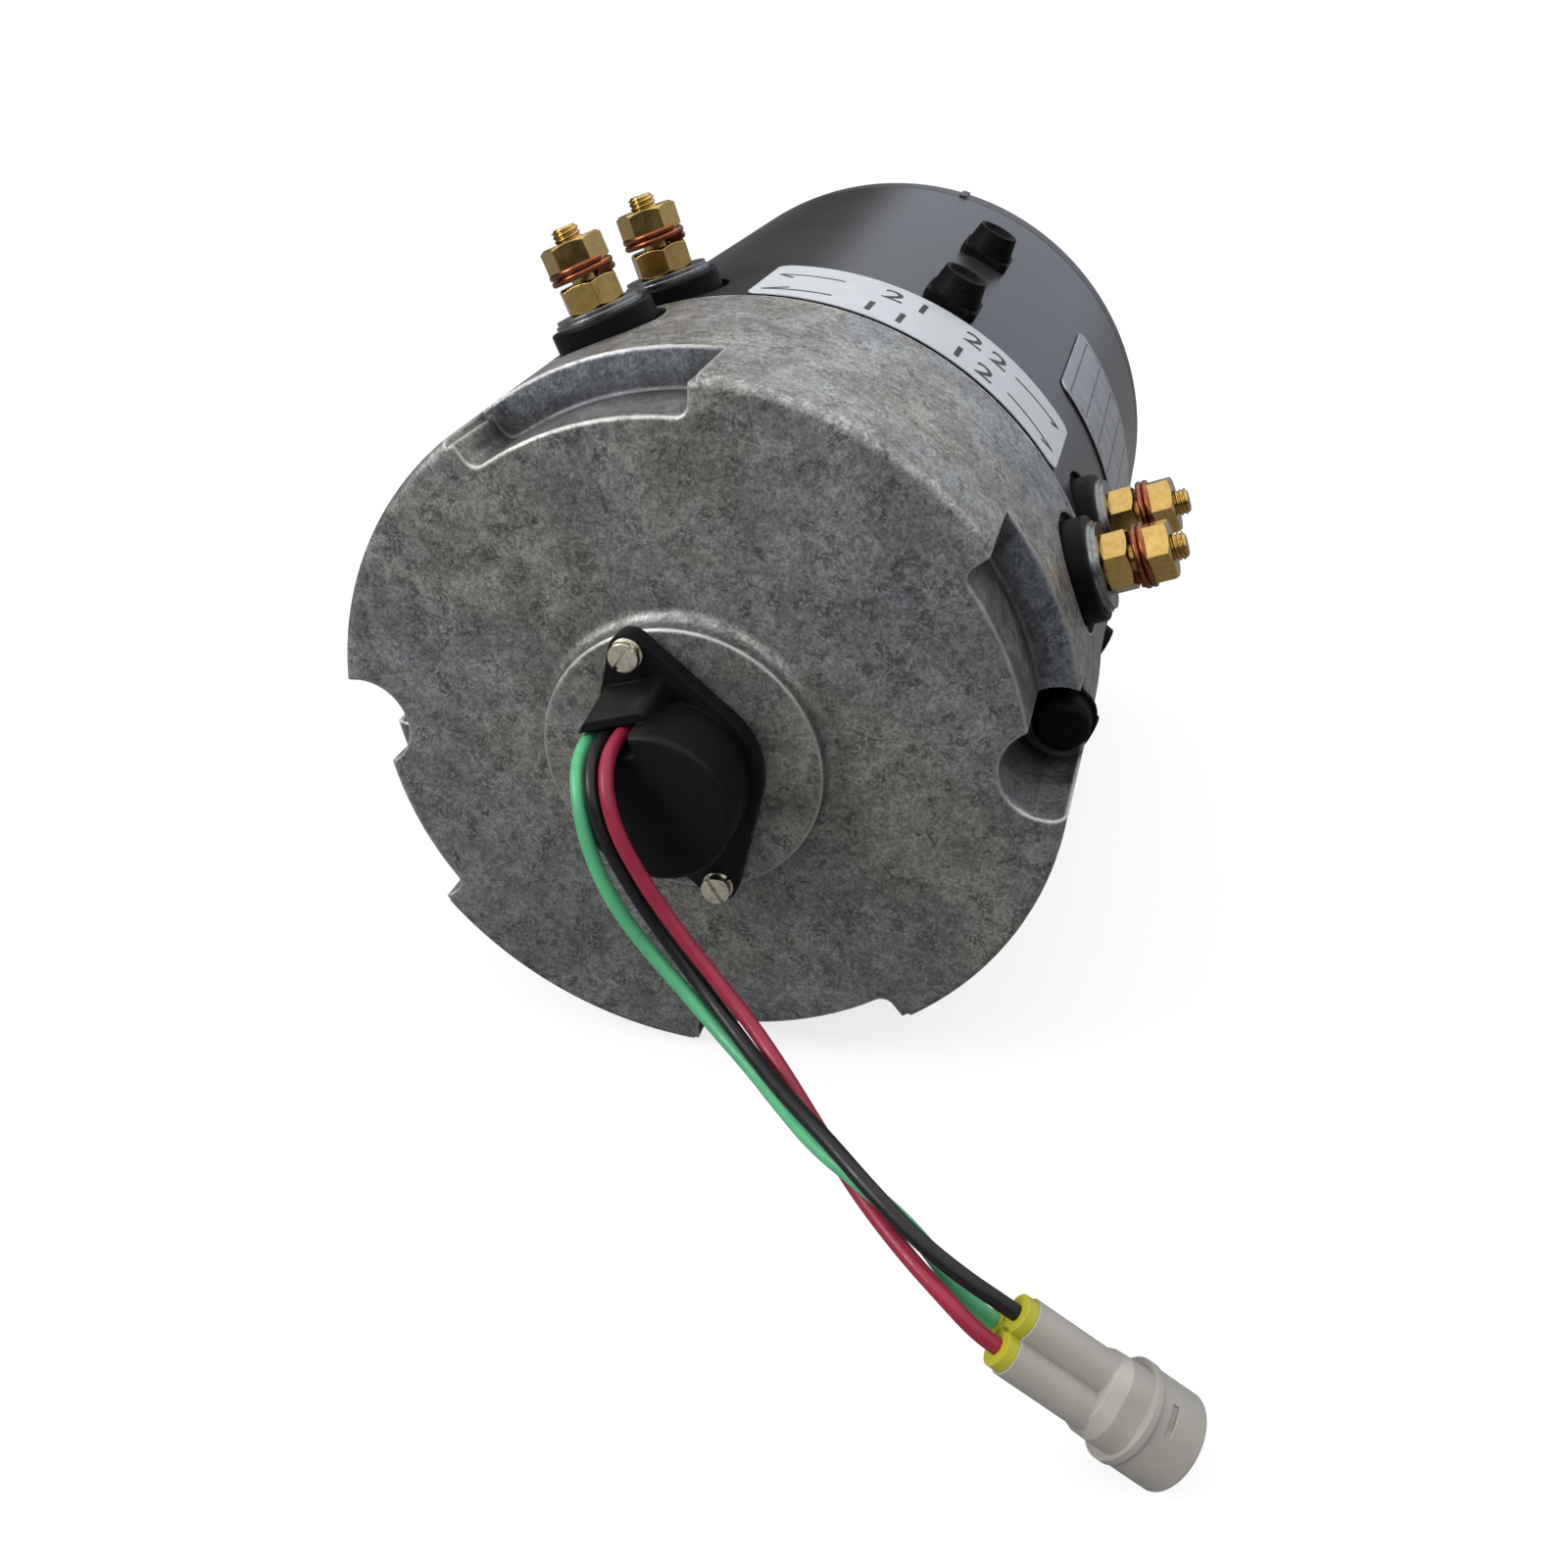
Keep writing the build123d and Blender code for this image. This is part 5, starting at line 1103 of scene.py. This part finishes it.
# %% Floor
FADE_FROM = 0.30
FADE_TO = 0.62
FLOOR_LIFT = 0.78

floor_height = bare_box[0][2]
bpy.ops.object.select_all(action="DESELECT")
bpy.ops.mesh.primitive_plane_add(size=12, location=(0, 0, floor_height))
floor = bpy.context.active_object
floor.name = "floor"

floor_finish = bpy.data.materials.new("floor")
floor_finish.use_nodes = True
tree = floor_finish.node_tree
tree.nodes.clear()
seen = put(tree, "LightPath")
place = put(tree, "TexCoord").outputs["Object"]
away = put(tree, "VectorMath", {0: place}, operation="LENGTH").outputs["Value"]
plain = put(tree, "BsdfDiffuse", {"Color": (0.22, 0.22, 0.22, 1)})
lift_strength = maths(tree, "MULTIPLY", seen.outputs["Is Camera Ray"], FLOOR_LIFT)
lift = put(tree, "Emission", {"Color": (1, 1, 1, 1), "Strength": lift_strength})
near = put(tree, "AddShader", {0: plain.outputs[0], 1: lift.outputs[0]})
glow = put(tree, "Emission", {"Color": (1, 1, 1, 1), "Strength": 1.0})
shown = maths(tree, "MAXIMUM", seen.outputs["Is Camera Ray"], seen.outputs["Is Transmission Ray"])
fade = maths(tree, "MULTIPLY", shown, remap(tree, away, FADE_FROM, FADE_TO))
ground = put(tree, "MixShader", {0: fade, 1: near.outputs[0], 2: glow.outputs[0]})
tree.links.new(ground.outputs[0], tree.nodes.new("ShaderNodeOutputMaterial").inputs["Surface"])
floor.data.materials.append(floor_finish)
print("floor at", round(floor_height, 4))

# %% [markdown]
# ## Studio
# Metal shows its surroundings, so these matter as much as the lamps. The camera sees plain white.
# The motor sees a soft studio: bright above, fairly bright behind on the right, dim in front,
# and a dark card behind on the left, which gives the dark left half of the yoke.

# %% World
DARK_CARD = (0.060, 0.050, 0.042)
BACK_WALL = (0.53, 0.57, 0.66)
FRONT_ROOM = (0.055, 0.055, 0.055)
CEILING = (1.45, 1.45, 1.45)
CARD_TURN = radians(-10)

world = bpy.data.worlds.new("studio")
bpy.context.scene.world = world
world.use_nodes = True
tree = world.node_tree
tree.nodes.clear()
seen = put(tree, "LightPath")
toward = put(tree, "TexCoord").outputs["Generated"]
split = put(tree, "SeparateXYZ", {"Vector": toward})
right_of_back = put(tree, "VectorMath", {0: toward, 1: (cos(CARD_TURN), -sin(CARD_TURN), 0)},
                    operation="DOT_PRODUCT").outputs["Value"]
behind = remap(tree, split.outputs["Y"], -0.15, 0.35)
above = remap(tree, split.outputs["Z"], 0.31, 0.56)
card_edge = remap(tree, right_of_back, -0.06, 0.04)
back = blend_colours(tree, card_edge, DARK_CARD, BACK_WALL)
around = blend_colours(tree, behind, FRONT_ROOM, back)
light = blend_colours(tree, above, around, CEILING)
studio = put(tree, "Background", {"Color": light, "Strength": 1.0})
white = put(tree, "Background", {"Color": (1, 1, 1, 1), "Strength": 1.0})
shown = maths(tree, "MAXIMUM", seen.outputs["Is Camera Ray"], seen.outputs["Is Transmission Ray"])
sky = put(tree, "MixShader", {0: shown, 1: studio.outputs[0], 2: white.outputs[0]})
tree.links.new(sky.outputs[0], tree.nodes.new("ShaderNodeOutputWorld").inputs["Surface"])
print("world ready")

# %% Lamps
def add_lamp(name, place, aim, size, power, colour):
    lamp = bpy.data.objects.new(name, bpy.data.lights.new(name, "AREA"))
    lamp.data.size = size
    lamp.data.energy = power
    lamp.data.color = colour
    lamp.location = place
    lamp.rotation_euler = (Vector(aim) - Vector(place)).to_track_quat("-Z", "Y").to_euler()
    bpy.context.scene.collection.objects.link(lamp)


add_lamp("top_box", (0.25, 0.25, 1.2), (0, -0.12, 0), 1.0, 1.6, (1.0, 1.0, 1.0))
add_lamp("front_left", (-0.9, -0.9, 0.7), (0, -0.2, 0), 0.5, 11.5, (1.0, 0.99, 0.97))
bpy.context.scene.view_settings.view_transform = "Standard"
print("lamps ready")

# %% End
bpy.context.view_layer.update()
